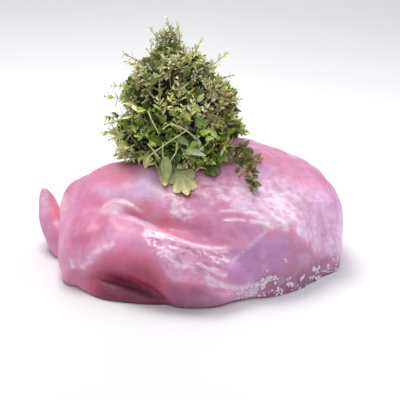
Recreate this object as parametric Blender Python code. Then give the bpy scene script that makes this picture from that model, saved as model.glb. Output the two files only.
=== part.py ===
"""Raw turkey breast, boneless and skinless, with a bunch of fresh herbs standing on it.

Metres, +Z up. The breast lies on z = 0 with its length along X and its folded front towards -Y.
The breast is one solid: muscle lobes, a fold along the front, a flap at the left end and a few
grains of coarse salt that stick to the lower right edge. The bunch of herbs is a second solid, and
a single thyme sprig lying on the breast is a third. Forms are written as distance fields, in which
negative is inside, and each field is meshed and then thinned out.
"""
import math

import bmesh
import bpy
import numpy as np

# ---- driving dimensions -------------------------------------------------------------------------
BREAST_LENGTH = 0.233
MM = BREAST_LENGTH / 233.0          # every place and size below is in these, 1 mm at this length
GAP = 0.35 * MM                     # between the breast and what lies on it

BREAST_CELL = 3.0 * MM              # grid from which the breast is meshed
BREAST_TRIANGLES = 4300
GRID_TRIES = 8
CORE_CELL = 3.6 * MM
CORE_TRIANGLES = 600

GRAIN_COUNT = 30
GRAIN_SIZE = (1.5, 2.6)             # coarse salt, across

STEM_RADIUS = 0.75
LEAF_THICKNESS = 0.7
PAIR_SPACING = 7.5                  # between pairs of leaves along a sprig
LEAF_LENGTH = (5.5, 8.5)

# ---- the breast's lobes: centre, radii, (yaw, pitch, roll) in degrees, slump, blend --------------
# slump stretches the half below the centre, so that a lobe settles on the surface under it
LOBES = (
    ((4, -22, 26), (88, 60, 50), (0, 0, 0), 1.6, 14),        # main body
    ((44, -43, 18), (53, 43, 38), (38, -4, 0), 3.0, 14),     # right front
    ((20, -2, 44), (60, 42, 45), (0, -6, 0), 1.0, 14),       # crest
    ((62, -5, 31), (43, 42, 44), (14, -14, 0), 2.0, 14),     # right back
    ((85, -14, 24), (20, 33, 35), (24, 0, 0), 3.0, 12),      # right end
    ((-52, -14, 34), (46, 44, 36), (0, 8, 0), 1.6, 12),      # left shoulder
    ((-76, -58, 16), (19, 29, 24), (-40, 0, 0), 3.0, 12),    # left front corner
)
BELLY = ((-6, -84, 6), (30, 25, 20), (0, 0, 0), 1.0)

# ---- rolls of muscle: points on the middle of the roll, and its radius there ---------------------
FOLD = ((-76, -54, 22, 18), (-58, -66, 22, 22), (-34, -76, 23, 25),
        (-10, -84, 21, 25), (6, -88, 16, 22), (18, -86, 12, 16))
RIDGE = ((-84, 2, 45, 6), (-93, -10, 44, 8), (-96, -22, 38, 8.5), (-94, -38, 27, 8.5),
         (-91.5, -60, 12, 9.5))
HOLLOW = ((-74, -96, 14.5, 2), (-62, -97.5, 14.5, 4.5), (-50, -99.5, 13, 5.5),
          (-38, -102.5, 10, 6), (-30, -105, 6.5, 6), (-22, -108.5, 0, 5))
UNDER = ((-77, -80, 2.5, 8.5), (-61, -91, 0, 9), (-43, -94.5, -1, 9), (-26, -97, -2, 7.5))
FLAP_ROOT = ((-103, -20, 8), (11, 17, 15), (20, 0, 0), 1.5)
FLAP = ((-98, -36, -2, 4), (-104, -28, 6, 7.5), (-109.5, -18, 15, 9.5),
        (-114.5, -10, 24, 9.5), (-117.8, -4, 31.5, 7.8), (-120, -1, 38, 4.2))

# ---- lines on the front, as (along the breast, height on the slanted front) ----------------------
FRONT_SLANT = math.radians(22.66)
CREASE = ((-74, 25), (-66, 24), (-58, 22.6), (-50, 20.8), (-42, 17.9), (-33, 14.8), (-25, 11.3),
          (-16, 7.9), (-8, 5.7), (2, 3.4), (14, 2), (26, 3.4), (36, 6.5))
TONGUE = ((-72, 24), (-68, 28), (-62, 30.5), (-55, 30.2), (-48, 27), (-42, 23.5), (-34, 20))
CREASE_DEPTH = 2.7                  # how far the meat above the crease is sunk
LIP_HEIGHT = 0.7                    # edge of the fold, just below the crease
TONGUE_HEIGHT = 1.1                 # the small second fold above the crease
TONGUE_SHADE = 0.7                  # groove over it
SEAM_DEPTH = 2.4                    # seam along the back, and its height above the table
SEAM_LEVEL = 40.0

# ---- the bunch of herbs --------------------------------------------------------------------------
CORE_LOBES = (
    ((-17, -3, 86), (48, 35, 30), (-8, 0, 0), 1.0, 0),
    ((-17, 1, 116), (42, 30, 25), (-6, 0, 0), 1.0, 10),
    ((-22, 1, 138), (27, 22, 16), (0, 0, 0), 1.0, 10),
    ((-28, 1, 154), (9, 9, 12), (0, 0, 0), 1.0, 8),
)
CORE_MIDDLE = (-19, 0, 108)         # middle and reach of the core, from which leaves are spread
CORE_REACH = (46, 32, 52)
SPIRAL_TURN = math.radians(137.5)
MANTLE_SPAN = 1.55                  # from straight up (0) to straight down (2)
BUNCH_FOOT = (-16, 2, 82)
# tips of the sprigs that stand out furthest
OUTER_TIPS = (
    (-29, 0, 177), (-41, -3, 171), (-21, 2, 174), (-3, 1, 163), (16, -5, 155), (-59, -4, 151),
    (-58, 6, 143), (-72, -6, 119), (-73, -10, 92), (27, -6, 121), (34, -10, 97), (20, 3, 136),
)
RING_SPRIGS = 9                    # more sprigs all round, by a spiral rule
MANTLE_LEAVES = 112                 # single leaves that clothe the core
MANTLE_LENGTH = (8.5, 12.5)
BROAD_LEAVES = 14
BROAD_LENGTH = (12.0, 16.0)
PETIOLES = (                        # bare pale stems that cross the front of the bunch
    ((-46, -27, 88), (-27, -41, 90), (-10, -36, 106)),
    ((-50, -26, 122), (-48, -34, 114), (-47, -28, 104)),
)
# flat leaves hanging over the front: stalk end, tip, width, number of lobes
HANGING_LEAVES = (
    ((-20, -25, 82), (-10, -60, 66), 22, 3),
    ((-26, -22, 82), (-27, -50, 68), 12, 1),
    ((4, -24, 83), (9, -49, 73), 19, 3),
)

# ---- the single thyme sprig, by points over the breast -------------------------------------------
THYME_ROUTE = ((27, -14, 88), (31.7, -26, 82), (36.5, -38, 75), (36, -53, 66))
THYME_SPACING = 4.6
THYME_KEEP_OUT = 7.0

# ---- colours: base colour, roughness --------------------------------------------------------------
BREAST_COLOUR = ((0.78, 0.36, 0.42, 1.0), 0.3)
HERB_COLOUR = ((0.12, 0.24, 0.05, 1.0), 0.5)
THYME_COLOUR = ((0.13, 0.14, 0.05, 1.0), 0.5)


# ---- distance fields --------------------------------------------------------------------------------
def ramp(value, low, high):
    """Smooth step from 0 at low to 1 at high."""
    t = np.clip((value - low) / (high - low), 0.0, 1.0)
    return t * t * (3.0 - 2.0 * t)


def smooth_min(a, b, blend):
    h = np.clip(0.5 + 0.5 * (b - a) / blend, 0.0, 1.0)
    return b + (a - b) * h - blend * h * (1.0 - h)


def smooth_max(a, b, blend):
    return -smooth_min(-a, -b, blend)


def turned(yaw, pitch, roll):
    """Rotation matrix whose columns are a lobe's own axes."""
    cy, cp, cr = (math.cos(math.radians(a)) for a in (yaw, pitch, roll))
    sy, sp, sr = (math.sin(math.radians(a)) for a in (yaw, pitch, roll))
    about_z = np.array(((cy, -sy, 0), (sy, cy, 0), (0, 0, 1)))
    about_y = np.array(((cp, 0, -sp), (0, 1, 0), (sp, 0, cp)))
    about_x = np.array(((1, 0, 0), (0, cr, -sr), (0, sr, cr)))
    return about_z @ about_y @ about_x


def lobe_field(p, centre, radii, angles, slump):
    """Ellipsoid, with the half below its centre stretched by slump."""
    q = p - np.array(centre, float)
    q[..., 2] = np.where(q[..., 2] < 0, q[..., 2] / slump, q[..., 2])
    q = q @ turned(*angles)
    r = np.array(radii, float)
    near = np.linalg.norm(q / r, axis=-1)
    steep = np.linalg.norm(q / r**2, axis=-1)
    return near * (near - 1.0) / np.maximum(steep, 1e-9)


def smooth_route(points, steps):
    """Points on a Catmull-Rom curve through the given ones, whatever they hold."""
    pts = np.array(points, float)
    pts = np.vstack((2 * pts[0] - pts[1], pts, 2 * pts[-1] - pts[-2]))
    out = []
    for p0, p1, p2, p3 in zip(pts[:-3], pts[1:-2], pts[2:-1], pts[3:]):
        for t in np.arange(steps) / steps:
            bend = 2 * p0 - 5 * p1 + 4 * p2 - p3
            out.append(0.5 * (2 * p1 + (p2 - p0) * t + bend * t**2 + (3 * p1 - p0 - 3 * p2 + p3) * t**3))
    out.append(pts[-2])
    return np.array(out)


def roll_field(p, route, steps=10):
    """Tube along a route of (x, y, z, radius)."""
    line = smooth_route(route, steps)
    nearest = np.full(p.shape[:-1], 1e9)
    for a, b in zip(line[:-1], line[1:]):
        along = b[:3] - a[:3]
        t = np.clip(((p - a[:3]) @ along) / (along @ along), 0.0, 1.0)
        gap = np.linalg.norm(p - a[:3] - t[..., None] * along, axis=-1)
        nearest = np.minimum(nearest, gap - a[3] - (b[3] - a[3]) * t)
    return nearest


def height_on(line, along):
    """Height of a line on the front at each place along the breast."""
    fine = smooth_route(line, 8)
    return np.interp(along, fine[:, 0], fine[:, 1])


def waves(p, length, seed, count=7):
    """Gentle unevenness, about -1 to 1: sine waves in random directions."""
    rng = np.random.default_rng(seed)
    total = np.zeros(p.shape[:-1])
    for _ in range(count):
        direction = rng.normal(size=3)
        direction /= np.linalg.norm(direction)
        rate = 2.0 * math.pi / (length * rng.uniform(0.75, 1.5))
        total += np.sin(p @ direction * rate + rng.uniform(0.0, 2.0 * math.pi))
    return 0.9 * total / math.sqrt(count)


def crease_relief(p):
    """What the crease, its lip and the tongue beside it add to the field on the front."""
    x, y = p[..., 0], p[..., 1]
    up = p[..., 2] * math.cos(FRONT_SLANT) + y * math.sin(FRONT_SLANT)
    front = 1.0 - ramp(y, -34, -14)
    above = up - height_on(CREASE, x)
    band = np.where(above > 0, np.exp(-(above / 9.0)**2), 1.0 - ramp(-above, 0, 3.0))
    sunk = CREASE_DEPTH * ramp(x, -60, -38) * (1 - ramp(x, -16, 30)) * band
    lip = LIP_HEIGHT * ramp(x, -56, -38) * (1 - ramp(x, 20, 38)) * np.exp(-((above + 3.0) / 2.8)**2)
    over = up - height_on(TONGUE, x)
    reach = ramp(x, -71, -66) * (1 - ramp(x, -46, -36))
    rise = np.where(over > 0, 1 - ramp(over, 0, 2.0), 1 - ramp(-over, 0.5, 7))
    shade = TONGUE_SHADE * np.exp(-((over - 2.6) / 2.2)**2)
    return front * (sunk - lip - reach * (TONGUE_HEIGHT * rise - shade))


def back_seam(p):
    """Shallow seam between two muscles along the back."""
    height = SEAM_LEVEL + 9.0 * np.sin(p[..., 0] / 34.0)
    return SEAM_DEPTH * ramp(p[..., 1], 8, 24) * np.exp(-((p[..., 2] - height) / 5.0)**2)


def breast_field(points):
    """The breast, in metres in and out."""
    p = points / MM
    x = p[..., 0]
    d = lobe_field(p, *LOBES[0][:4])
    for centre, radii, angles, slump, blend in LOBES[1:]:
        d = smooth_min(d, lobe_field(p, centre, radii, angles, slump), blend)
    fold_blend = 5 + 12 * (1 - ramp(x, -62, -38)) + 8 * ramp(x, 0, 20)
    d = smooth_min(d, roll_field(p, FOLD), fold_blend)
    d = smooth_min(d, roll_field(p, RIDGE), 6)
    d = smooth_min(d, lobe_field(p, *BELLY), 10)
    d = d + crease_relief(p) + back_seam(p)
    d = smooth_max(d, -roll_field(p, HOLLOW), 3.5)
    d = smooth_min(d, roll_field(p, UNDER), 2.5)
    flap = smooth_min(roll_field(p, FLAP), lobe_field(p, *FLAP_ROOT), 5)
    d = smooth_min(d, flap, 4)
    d = d + waves(p, 60, 5) + 0.35 * waves(p, 22, 8)
    return smooth_max(d, -p[..., 2], 2.5) * MM


def core_field(points):
    """The inner mass of the herbs, lumpy like packed leaves, kept clear of the thyme sprig."""
    p = points / MM
    d = lobe_field(p, *CORE_LOBES[0][:4])
    for centre, radii, angles, slump, blend in CORE_LOBES[1:]:
        d = smooth_min(d, lobe_field(p, centre, radii, angles, slump), blend)
    d = d + 1.8 * waves(p, 21, 21)
    route = [(*point, THYME_KEEP_OUT) for point in THYME_ROUTE]
    return smooth_max(d + 1.2, -roll_field(p, route), 4) * MM


def slope(field, points, step=0.0002):
    """Gradient of a field by central differences."""
    out = np.empty_like(points)
    for axis in range(3):
        shift = np.zeros(3)
        shift[axis] = step
        out[..., axis] = (field(points + shift) - field(points - shift)) / (2.0 * step)
    return out


def settle(field, points, level=0.0, rounds=3, reach=0.004):
    """Move points along the slope until the field there equals level."""
    for _ in range(rounds):
        g = slope(field, points)
        size = np.maximum((g**2).sum(-1, keepdims=True), 0.05)
        move = (level - field(points))[..., None] * g / size
        span = np.linalg.norm(move, axis=-1, keepdims=True)
        points = points + move * np.minimum(1.0, reach / np.maximum(span, 1e-12))
    return points


def surface_nets(field, low, high, cell):
    """Closed quad mesh of field = 0, one vertex for each grid cell that the surface crosses."""
    counts = np.ceil((np.array(high) - low) / cell).astype(int) + 1
    axes = [low[i] + cell * np.arange(counts[i]) for i in range(3)]
    grid = np.stack(np.meshgrid(*axes, indexing="ij"), -1)
    value = np.stack([field(layer) for layer in grid])
    cells = counts - 1
    total = np.zeros((*cells, 3))
    crossings = np.zeros(tuple(cells))

    def corner(offset):
        spans = tuple(slice(o, o + c) for o, c in zip(offset, cells))
        return value[spans]

    for axis in range(3):
        others = [a for a in range(3) if a != axis]
        for du in (0, 1):
            for dv in (0, 1):
                start = np.zeros(3, int)
                start[others] = du, dv
                stop = start.copy()
                stop[axis] = 1
                a, b = corner(start), corner(stop)
                cut = (a < 0) != (b < 0)
                place = np.empty((*cells, 3))
                place[..., axis] = np.where(cut, a / np.where(a == b, 1.0, a - b), 0.0)
                place[..., others[0]] = du
                place[..., others[1]] = dv
                total += place * cut[..., None]
                crossings += cut
    used = crossings > 0
    number = np.full(tuple(cells), -1)
    number[used] = np.arange(used.sum())
    points = (np.argwhere(used) + total[used] / crossings[used][:, None]) * cell + low
    quads = []
    inside = value < 0
    for axis in range(3):
        u, v = ((1, 2), (2, 0), (0, 1))[axis]
        a = np.take(inside, range(cells[axis]), axis=axis)
        b = np.take(inside, range(1, cells[axis] + 1), axis=axis)
        at = np.argwhere(a != b)
        outward = a[tuple(at.T)]
        ring = []
        for du, dv in ((0, 0), (1, 0), (1, 1), (0, 1)):
            cell_at = at.copy()
            cell_at[:, u] -= du
            cell_at[:, v] -= dv
            ring.append(number[tuple(cell_at.T)])
        quad = np.stack(ring, 1)
        quad[~outward] = quad[~outward][:, ::-1]
        quads.append(quad)
    return points, np.vstack(quads)


# ---- meshes ---------------------------------------------------------------------------------------
def make_material(name, colour, roughness):
    material = bpy.data.materials.new(name)
    material.use_nodes = True
    shader = material.node_tree.nodes["Principled BSDF"]
    shader.inputs["Base Color"].default_value = colour
    shader.inputs["Roughness"].default_value = roughness
    material.diffuse_color = colour
    return material


def add_object(name, points, faces):
    mesh = bpy.data.meshes.new(name)
    mesh.from_pydata([tuple(p) for p in points], [], [tuple(int(i) for i in f) for f in faces])
    mesh.update()
    thing = bpy.data.objects.new(name, mesh)
    bpy.context.scene.collection.objects.link(thing)
    return thing


def apply_modifiers(thing):
    """Keep the evaluated mesh as the object's own, with no modifier left."""
    graph = bpy.context.evaluated_depsgraph_get()
    baked = bpy.data.meshes.new_from_object(thing.evaluated_get(graph))
    thing.modifiers.clear()
    old = thing.data
    thing.data = baked
    baked.name = thing.name
    bpy.data.meshes.remove(old)


def thin_out(thing, triangles):
    """Triangulate, then collapse edges until about this many triangles are left."""
    split = thing.modifiers.new("split", "TRIANGULATE")
    split.quad_method = "SHORTEST_DIAGONAL"
    now = sum(len(face.vertices) - 2 for face in thing.data.polygons)
    fewer = thing.modifiers.new("fewer", "DECIMATE")
    fewer.ratio = min(1.0, triangles / now)
    apply_modifiers(thing)


def shared_by_two(quads):
    """True if each edge lies between exactly two faces."""
    edges = np.sort(np.vstack([quads[:, [i, (i + 1) % 4]] for i in range(4)]), axis=1)
    return (np.unique(edges, axis=0, return_counts=True)[1] == 2).all()


def field_object(name, field, low, high, cell, triangles):
    """Mesh of a field. Where two folds meet in one grid cell, a slightly finer grid parts them."""
    for shrink in range(GRID_TRIES):
        points, quads = surface_nets(field, np.array(low) * MM, np.array(high) * MM, cell)
        if shared_by_two(quads):
            break
        cell *= 0.96
    thing = add_object(name, settle(field, points, reach=0.5 * cell), quads)
    thin_out(thing, triangles)
    return thing


def pieces_of(mesh):
    """Connected groups of faces in a bmesh."""
    left = set(mesh.faces)
    groups = []
    while left:
        front = [left.pop()]
        group = list(front)
        while front:
            face = front.pop()
            near = {other for edge in face.edges for other in edge.link_faces if other in left}
            left -= near
            group.extend(near)
            front.extend(near)
        groups.append(group)
    return groups


def keep_largest(thing):
    """Drop loose scraps and the walls of sealed hollows: only the biggest piece stays."""
    mesh = bmesh.new()
    mesh.from_mesh(thing.data)
    groups = sorted(pieces_of(mesh), key=lambda g: sum(face.calc_area() for face in g))
    for group in groups[:-1]:
        bmesh.ops.delete(mesh, geom=group, context="FACES")
    mesh.to_mesh(thing.data)
    mesh.free()


def join_all(body, others, solver="EXACT"):
    """One Boolean union of body with every object in others, which are then removed."""
    group = bpy.data.collections.new("joined")
    bpy.context.scene.collection.children.link(group)
    for other in others:
        group.objects.link(other)
    union = body.modifiers.new("union", "BOOLEAN")
    union.operation = "UNION"
    union.operand_type = "COLLECTION"
    union.collection = group
    union.solver = solver
    apply_modifiers(body)
    for other in others:
        bpy.data.objects.remove(other)
    bpy.data.collections.remove(group)


def cut_away(body, cutter):
    """Subtract cutter from body, and remove the cutter."""
    cut = body.modifiers.new("cut", "BOOLEAN")
    cut.operation = "DIFFERENCE"
    cut.object = cutter
    cut.solver = "EXACT"
    apply_modifiers(body)
    bpy.data.objects.remove(cutter)


# ---- leaves and stems -------------------------------------------------------------------------------
def unit(vector):
    return vector / max(np.linalg.norm(vector), 1e-12)


def across(direction, rng):
    """A random unit vector square to direction."""
    return unit(np.cross(direction, rng.normal(size=3)))


def fan(ring, top, bottom):
    """Closed solid from a ring of points and one point on either side: both faces split alike."""
    count = len(ring)
    faces = []
    for i in range(count):
        j = (i + 1) % count
        faces.append((i, j, count))
        faces.append((j, i, count + 1))
    return np.vstack((ring, top, bottom)), faces


def small_leaf(base, direction, face, length, width):
    """Thyme leaf, 8 triangles: a pointed oval folded along its middle."""
    side = unit(np.cross(face, direction))
    face = np.cross(direction, side)
    middle = base + direction * length * 0.5
    fold = face * width * 0.12
    ring = np.array((base, middle + side * width / 2 + fold, base + direction * length,
                     middle - side * width / 2 + fold))
    half = face * LEAF_THICKNESS / 2
    return fan(ring * MM, (middle - half) * MM, (middle + half) * MM)


def broad_leaf(base, direction, face, length, width):
    """Oregano leaf, 16 triangles: an oval with a wavy edge."""
    side = unit(np.cross(face, direction))
    face = np.cross(direction, side)
    ring = []
    for i in range(8):
        angle = 2.0 * math.pi * i / 8
        wave = face * 0.09 * width * math.cos(2 * angle + 1)
        out = side * math.sin(angle) * width / 2 * (1 + 0.2 * math.cos(angle))
        ring.append(base + direction * length * (0.5 - 0.5 * math.cos(angle)) + out + wave)
    middle = base + direction * length * 0.5 - face * width * 0.06
    half = face * LEAF_THICKNESS / 2
    return fan(np.array(ring) * MM, (middle - half) * MM, (middle + half) * MM)


def stem(points, radius, end_radius, sides=4):
    """Tube along points with flat sides, closed at both ends."""
    points = np.array(points, float)
    count = len(points)
    ring, faces = [], []
    normal = unit(np.cross(points[-1] - points[0], (0.3, 0.5, 0.8)))
    for i, point in enumerate(points):
        ahead = unit(points[min(i + 1, count - 1)] - points[max(i - 1, 0)])
        normal = unit(normal - ahead * (normal @ ahead))
        side = np.cross(ahead, normal)
        r = radius + (end_radius - radius) * i / (count - 1)
        for k in range(sides):
            angle = 2.0 * math.pi * k / sides
            ring.append(point + r * (math.cos(angle) * normal + math.sin(angle) * side))
    for i in range(count - 1):
        for k in range(sides):
            a, b = sides * i + k, sides * i + (k + 1) % sides
            faces.append((a, b, b + sides))
            faces.append((a, b + sides, a + sides))
    last = sides * (count - 1)
    for k in range(1, sides - 1):
        faces.append((k + 1, k, 0))
        faces.append((last, last + k, last + k + 1))
    return np.array(ring) * MM, faces


def arc(foot, tip, lift, count):
    """Points on a bow from foot to tip that rises by lift in its middle."""
    foot, tip = np.array(foot, float), np.array(tip, float)
    t = np.linspace(0.0, 1.0, count)[:, None]
    return foot + (tip - foot) * t + np.array((0, 0, lift)) * 4 * t * (1 - t)


def leaf_pairs(line, start, rng, lean=0.62, spacing=PAIR_SPACING):
    """Leaves in crossed pairs along a stem, smaller towards the tip: (base, direction, face, length)."""
    steps = np.linalg.norm(np.diff(line, axis=0), axis=1)
    travelled = np.concatenate(((0.0,), np.cumsum(steps)))
    length = travelled[-1]
    turn = rng.uniform(0.0, math.pi)
    reference = np.array((0.36, 0.48, 0.8))
    place = length - 1.2
    leaves = []
    while place > start:
        point = np.array([np.interp(place, travelled, line[:, k]) for k in range(3)])
        behind = np.array([np.interp(place - 3.0, travelled, line[:, k]) for k in range(3)])
        ahead = unit(point - behind)
        side = unit(np.cross(ahead, reference))
        other = np.cross(ahead, side)
        young = 0.72 + 0.28 * min(1.0, (length - place) / (2 * spacing))
        for half in (0.0, math.pi):
            angle = turn + half + rng.uniform(-0.3, 0.3)
            out = math.cos(angle) * side + math.sin(angle) * other
            direction = unit(out * lean + ahead * (1 - lean) + rng.normal(size=3) * 0.1)
            base = point - direction * 0.35
            leaves.append((base, direction, ahead, young * rng.uniform(*LEAF_LENGTH)))
        turn += math.pi / 2
        place -= spacing * rng.uniform(0.85, 1.15)
    return leaves


def ring_tips():
    """Tips of the sprigs all round the bunch, on a spiral about the core's surface."""
    rng = np.random.default_rng(7)
    tips = []
    for i in range(RING_SPRIGS):
        share = (i + 0.5) / RING_SPRIGS
        angle = i * SPIRAL_TURN + rng.uniform(-0.3, 0.3)
        height = 84.0 + 72.0 * share
        girth = 1.0 - 0.5 * ramp(height, 118, 160)
        out = np.array((math.cos(angle) * 57.0, math.sin(angle) * 43.0)) * girth
        middle = -14.0 - 8.0 * share
        tips.append((middle + out[0], out[1], height + rng.uniform(2, 12)))
    return tips


def outside_part(line, field, depth):
    """The end of a stem from where it is this far inside the field, so that nothing is buried."""
    values = field(line * MM) / MM
    inside = np.nonzero(values < -depth)[0]
    first = inside[-1] if len(inside) else 0
    return line[min(first, len(line) - 3):]


def thin_line(line, count):
    """The same route with only count points."""
    pick = np.linspace(0, len(line) - 1, count)
    return np.array([[np.interp(i, range(len(line)), line[:, k]) for k in range(3)] for i in pick])


def sprig_shapes(tip, rng):
    """Meshes of one sprig that leaves the core and ends at tip."""
    tip = np.array(tip, float)
    foot = np.array(BUNCH_FOOT, float)
    foot[2] += 0.45 * max(0.0, tip[2] - foot[2])
    line = arc(foot, tip, rng.uniform(3, 8), 24)
    line = outside_part(line, core_field, 4.0)
    line = thin_line(line, 5)
    leaves = leaf_pairs(line, 3.0, rng)
    if not leaves:
        return []
    middles = np.array([base + direction * length * 0.5 for base, direction, face, length in leaves])
    tips = np.array([base + direction * length for base, direction, face, length in leaves])
    wanted = (core_field(middles * MM) > -0.5 * MM) & clear_of_others(tips)
    shapes = [stem(line, STEM_RADIUS, 0.6 * STEM_RADIUS, 3)]
    for (base, direction, face, length), keep in zip(leaves, wanted):
        if keep:
            shapes.append(small_leaf(base, direction, face, length, 0.46 * length))
    return shapes


def clear_of_others(points):
    """True for each point that is above the breast and away from the thyme sprig."""
    route = [(*place, 0.0) for place in THYME_ROUTE]
    return (breast_field(points * MM) > 1.5 * MM) & (roll_field(points, route) > THYME_KEEP_OUT + 5)


def mantle_shapes(count, lengths, width, maker, seed):
    """Leaves spread evenly over the core by a spiral, pointing out and up."""
    rng = np.random.default_rng(seed)
    high = 1.0 - MANTLE_SPAN * (np.arange(count) + 0.5) / count
    angle = np.arange(count) * SPIRAL_TURN + seed
    girth = np.sqrt(1.0 - high**2)
    rays = np.stack((np.cos(angle) * girth, np.sin(angle) * girth, high), 1)
    bases = np.array(CORE_MIDDLE) + rays * np.array(CORE_REACH) + rng.normal(size=(count, 3)) * 2
    bases = settle(core_field, bases * MM, -0.3 * MM, 8)
    outs = slope(core_field, bases)
    directions = outs + np.array((0, 0, 0.45)) + rng.normal(size=(count, 3)) * 0.45
    directions /= np.linalg.norm(directions, axis=1, keepdims=True)
    sizes = rng.uniform(*lengths, count)
    clear = clear_of_others(bases / MM + directions * sizes[:, None])
    shapes = []
    for base, out, direction, length, keep in zip(bases / MM, outs, directions, sizes, clear):
        face = unit(out + across(direction, rng) * 0.8)
        if keep:
            shapes.append(maker(base - direction * 1.5, direction, face, length, width * length))
    return shapes


def hanging_leaf(stalk, tip, width, lobes):
    """Flat parsley leaf that follows the breast: a lobed outline bent over its surface."""
    stalk, tip = np.array(stalk, float), np.array(tip, float)
    ahead = tip - stalk
    length = np.linalg.norm(ahead)
    ahead = unit(ahead)
    up = unit(slope(breast_field, 0.5 * (stalk + tip) * MM))
    side = unit(np.cross(up, ahead))
    sides = 6 * lobes + 4
    ring = []
    for i in range(sides):
        angle = 2.0 * math.pi * i / sides
        notch = 1.0 - 0.2 * (1 - math.cos(lobes * 2 * angle)) / 2
        far = ramp(-math.cos(angle), -1.0, 0.6)
        out = side * math.sin(angle) * width / 2 * notch * (0.45 + 0.55 * far)
        ring.append(stalk + ahead * length * (0.5 - 0.5 * math.cos(angle) * notch) + out)
    lift = np.append(1.7 + 0.5 * np.sin(np.arange(sides) * 2.1), 2.0)
    ring.append(stalk + ahead * length * 0.55)
    laid = settle(breast_field, np.array(ring) * MM, lift * MM, 6)
    half = up * LEAF_THICKNESS * 0.6 * MM
    return fan(laid[:-1], laid[-1] - half, laid[-1] + half)


# ---- the three pieces -------------------------------------------------------------------------------
def grain_shapes():
    """Grains of coarse salt: squashed, turned octahedra on the lower right edge of the breast."""
    rng = np.random.default_rng(11)
    share = (np.arange(GRAIN_COUNT) + rng.uniform(0, 1, GRAIN_COUNT)) / GRAIN_COUNT
    height = rng.uniform(1.5, 6.5, GRAIN_COUNT) + 9.0 * (rng.uniform(0, 1, GRAIN_COUNT) < 0.15)
    seeds = np.stack((30 + 76 * share, -100 + 60 * share**1.2, height), 1)
    places = settle(breast_field, seeds * MM, 0.1 * MM, 12, 0.006) / MM
    shapes = []
    for place in places:
        size = rng.uniform(*GRAIN_SIZE) / 2
        place[2] = max(place[2], size * 0.8)
        axes = turned(*rng.uniform(0, 360, 3)) * rng.uniform(0.75, 1.15, 3) * size
        ring = np.array((place + axes[:, 0], place + axes[:, 1], place - axes[:, 0], place - axes[:, 1]))
        shapes.append(fan(ring * MM, (place + axes[:, 2]) * MM, (place - axes[:, 2]) * MM))
    return shapes


def build_breast(name):
    breast = field_object(name, breast_field, (-135, -125, -6), (130, 75, 105), BREAST_CELL,
                          BREAST_TRIANGLES)
    for vertex in breast.data.vertices:
        if vertex.co.z < 0.25 * MM:
            vertex.co.z = 0.0
    grains = [add_object("grain", *shape) for shape in grain_shapes()]
    join_all(breast, grains)
    keep_largest(breast)
    return breast


def swollen(thing, amount):
    """Copy of a mesh with each vertex moved out by amount."""
    normals = [tuple(vertex.normal) for vertex in thing.data.vertices]
    points = [vertex.co for vertex in thing.data.vertices]
    moved = np.array(points) + np.array(normals) * amount
    faces = [tuple(face.vertices) for face in thing.data.polygons]
    return add_object("swollen", moved, faces)


def build_bunch(name, breast):
    core = field_object(name, core_field, (-78, -52, 44), (48, 52, 180), CORE_CELL, CORE_TRIANGLES)
    rng = np.random.default_rng(3)
    shapes = []
    for tip in (*OUTER_TIPS, *ring_tips()):
        shapes.extend(sprig_shapes(tip, rng))
    shapes.extend(mantle_shapes(MANTLE_LEAVES, MANTLE_LENGTH, 0.5, small_leaf, 5))
    shapes.extend(mantle_shapes(BROAD_LEAVES, BROAD_LENGTH, 0.62, broad_leaf, 31))
    for points in PETIOLES:
        shapes.append(stem(smooth_route(points, 4), 0.8, 0.8))
    for stalk, tip, width, lobes in HANGING_LEAVES:
        shapes.append(hanging_leaf(stalk, tip, width, lobes))
    join_all(core, [add_object("leaf", *shape) for shape in shapes], "MANIFOLD")
    cut_away(core, swollen(breast, GAP))
    keep_largest(core)
    return core


def build_thyme(name):
    """Sprig lying on the breast: its leaves turn away from the surface under them."""
    rng = np.random.default_rng(17)
    line = smooth_route(THYME_ROUTE, 3) * MM
    line = settle(breast_field, line, 2.4 * MM, 5) / MM
    sprig = add_object(name, *stem(line, 1.0, 0.8))
    shapes = []
    for base, direction, face, length in leaf_pairs(line, 2.0, rng, 0.7, THYME_SPACING):
        out = unit(slope(breast_field, base * MM))
        direction = unit(direction + out * (0.12 - min(0.0, direction @ out)))
        shapes.append(small_leaf(base, direction, unit(out + 0.3 * face), 0.95 * length, 0.5 * length))
    join_all(sprig, [add_object("leaf", *shape) for shape in shapes])
    keep_largest(sprig)
    return sprig


def finish(thing, colour):
    thing.data.materials.clear()
    thing.data.materials.append(make_material(thing.name, *colour))
    thing.data.shade_smooth()
    thing.data.set_sharp_from_angle(angle=math.radians(40))


def main():
    for old in list(bpy.data.objects):
        bpy.data.objects.remove(old)
    breast = build_breast("turkey_breast")
    bunch = build_bunch("herb_bunch", breast)
    thyme = build_thyme("thyme_sprig")
    finish(breast, BREAST_COLOUR)
    finish(bunch, HERB_COLOUR)
    finish(thyme, THYME_COLOUR)


main()
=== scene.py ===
"""Looks of the raw turkey breast with a bunch of fresh herbs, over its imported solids.

The breast, the salt, the herbs and the thyme sprig are finer meshes in the places of the solids.
Places and sizes are in millimetres unless a name says otherwise; MM turns them into metres.
"""
import collections
import functools
import itertools
import math

import bpy
import numpy as np
from mathutils import Matrix, Vector, noise


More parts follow.
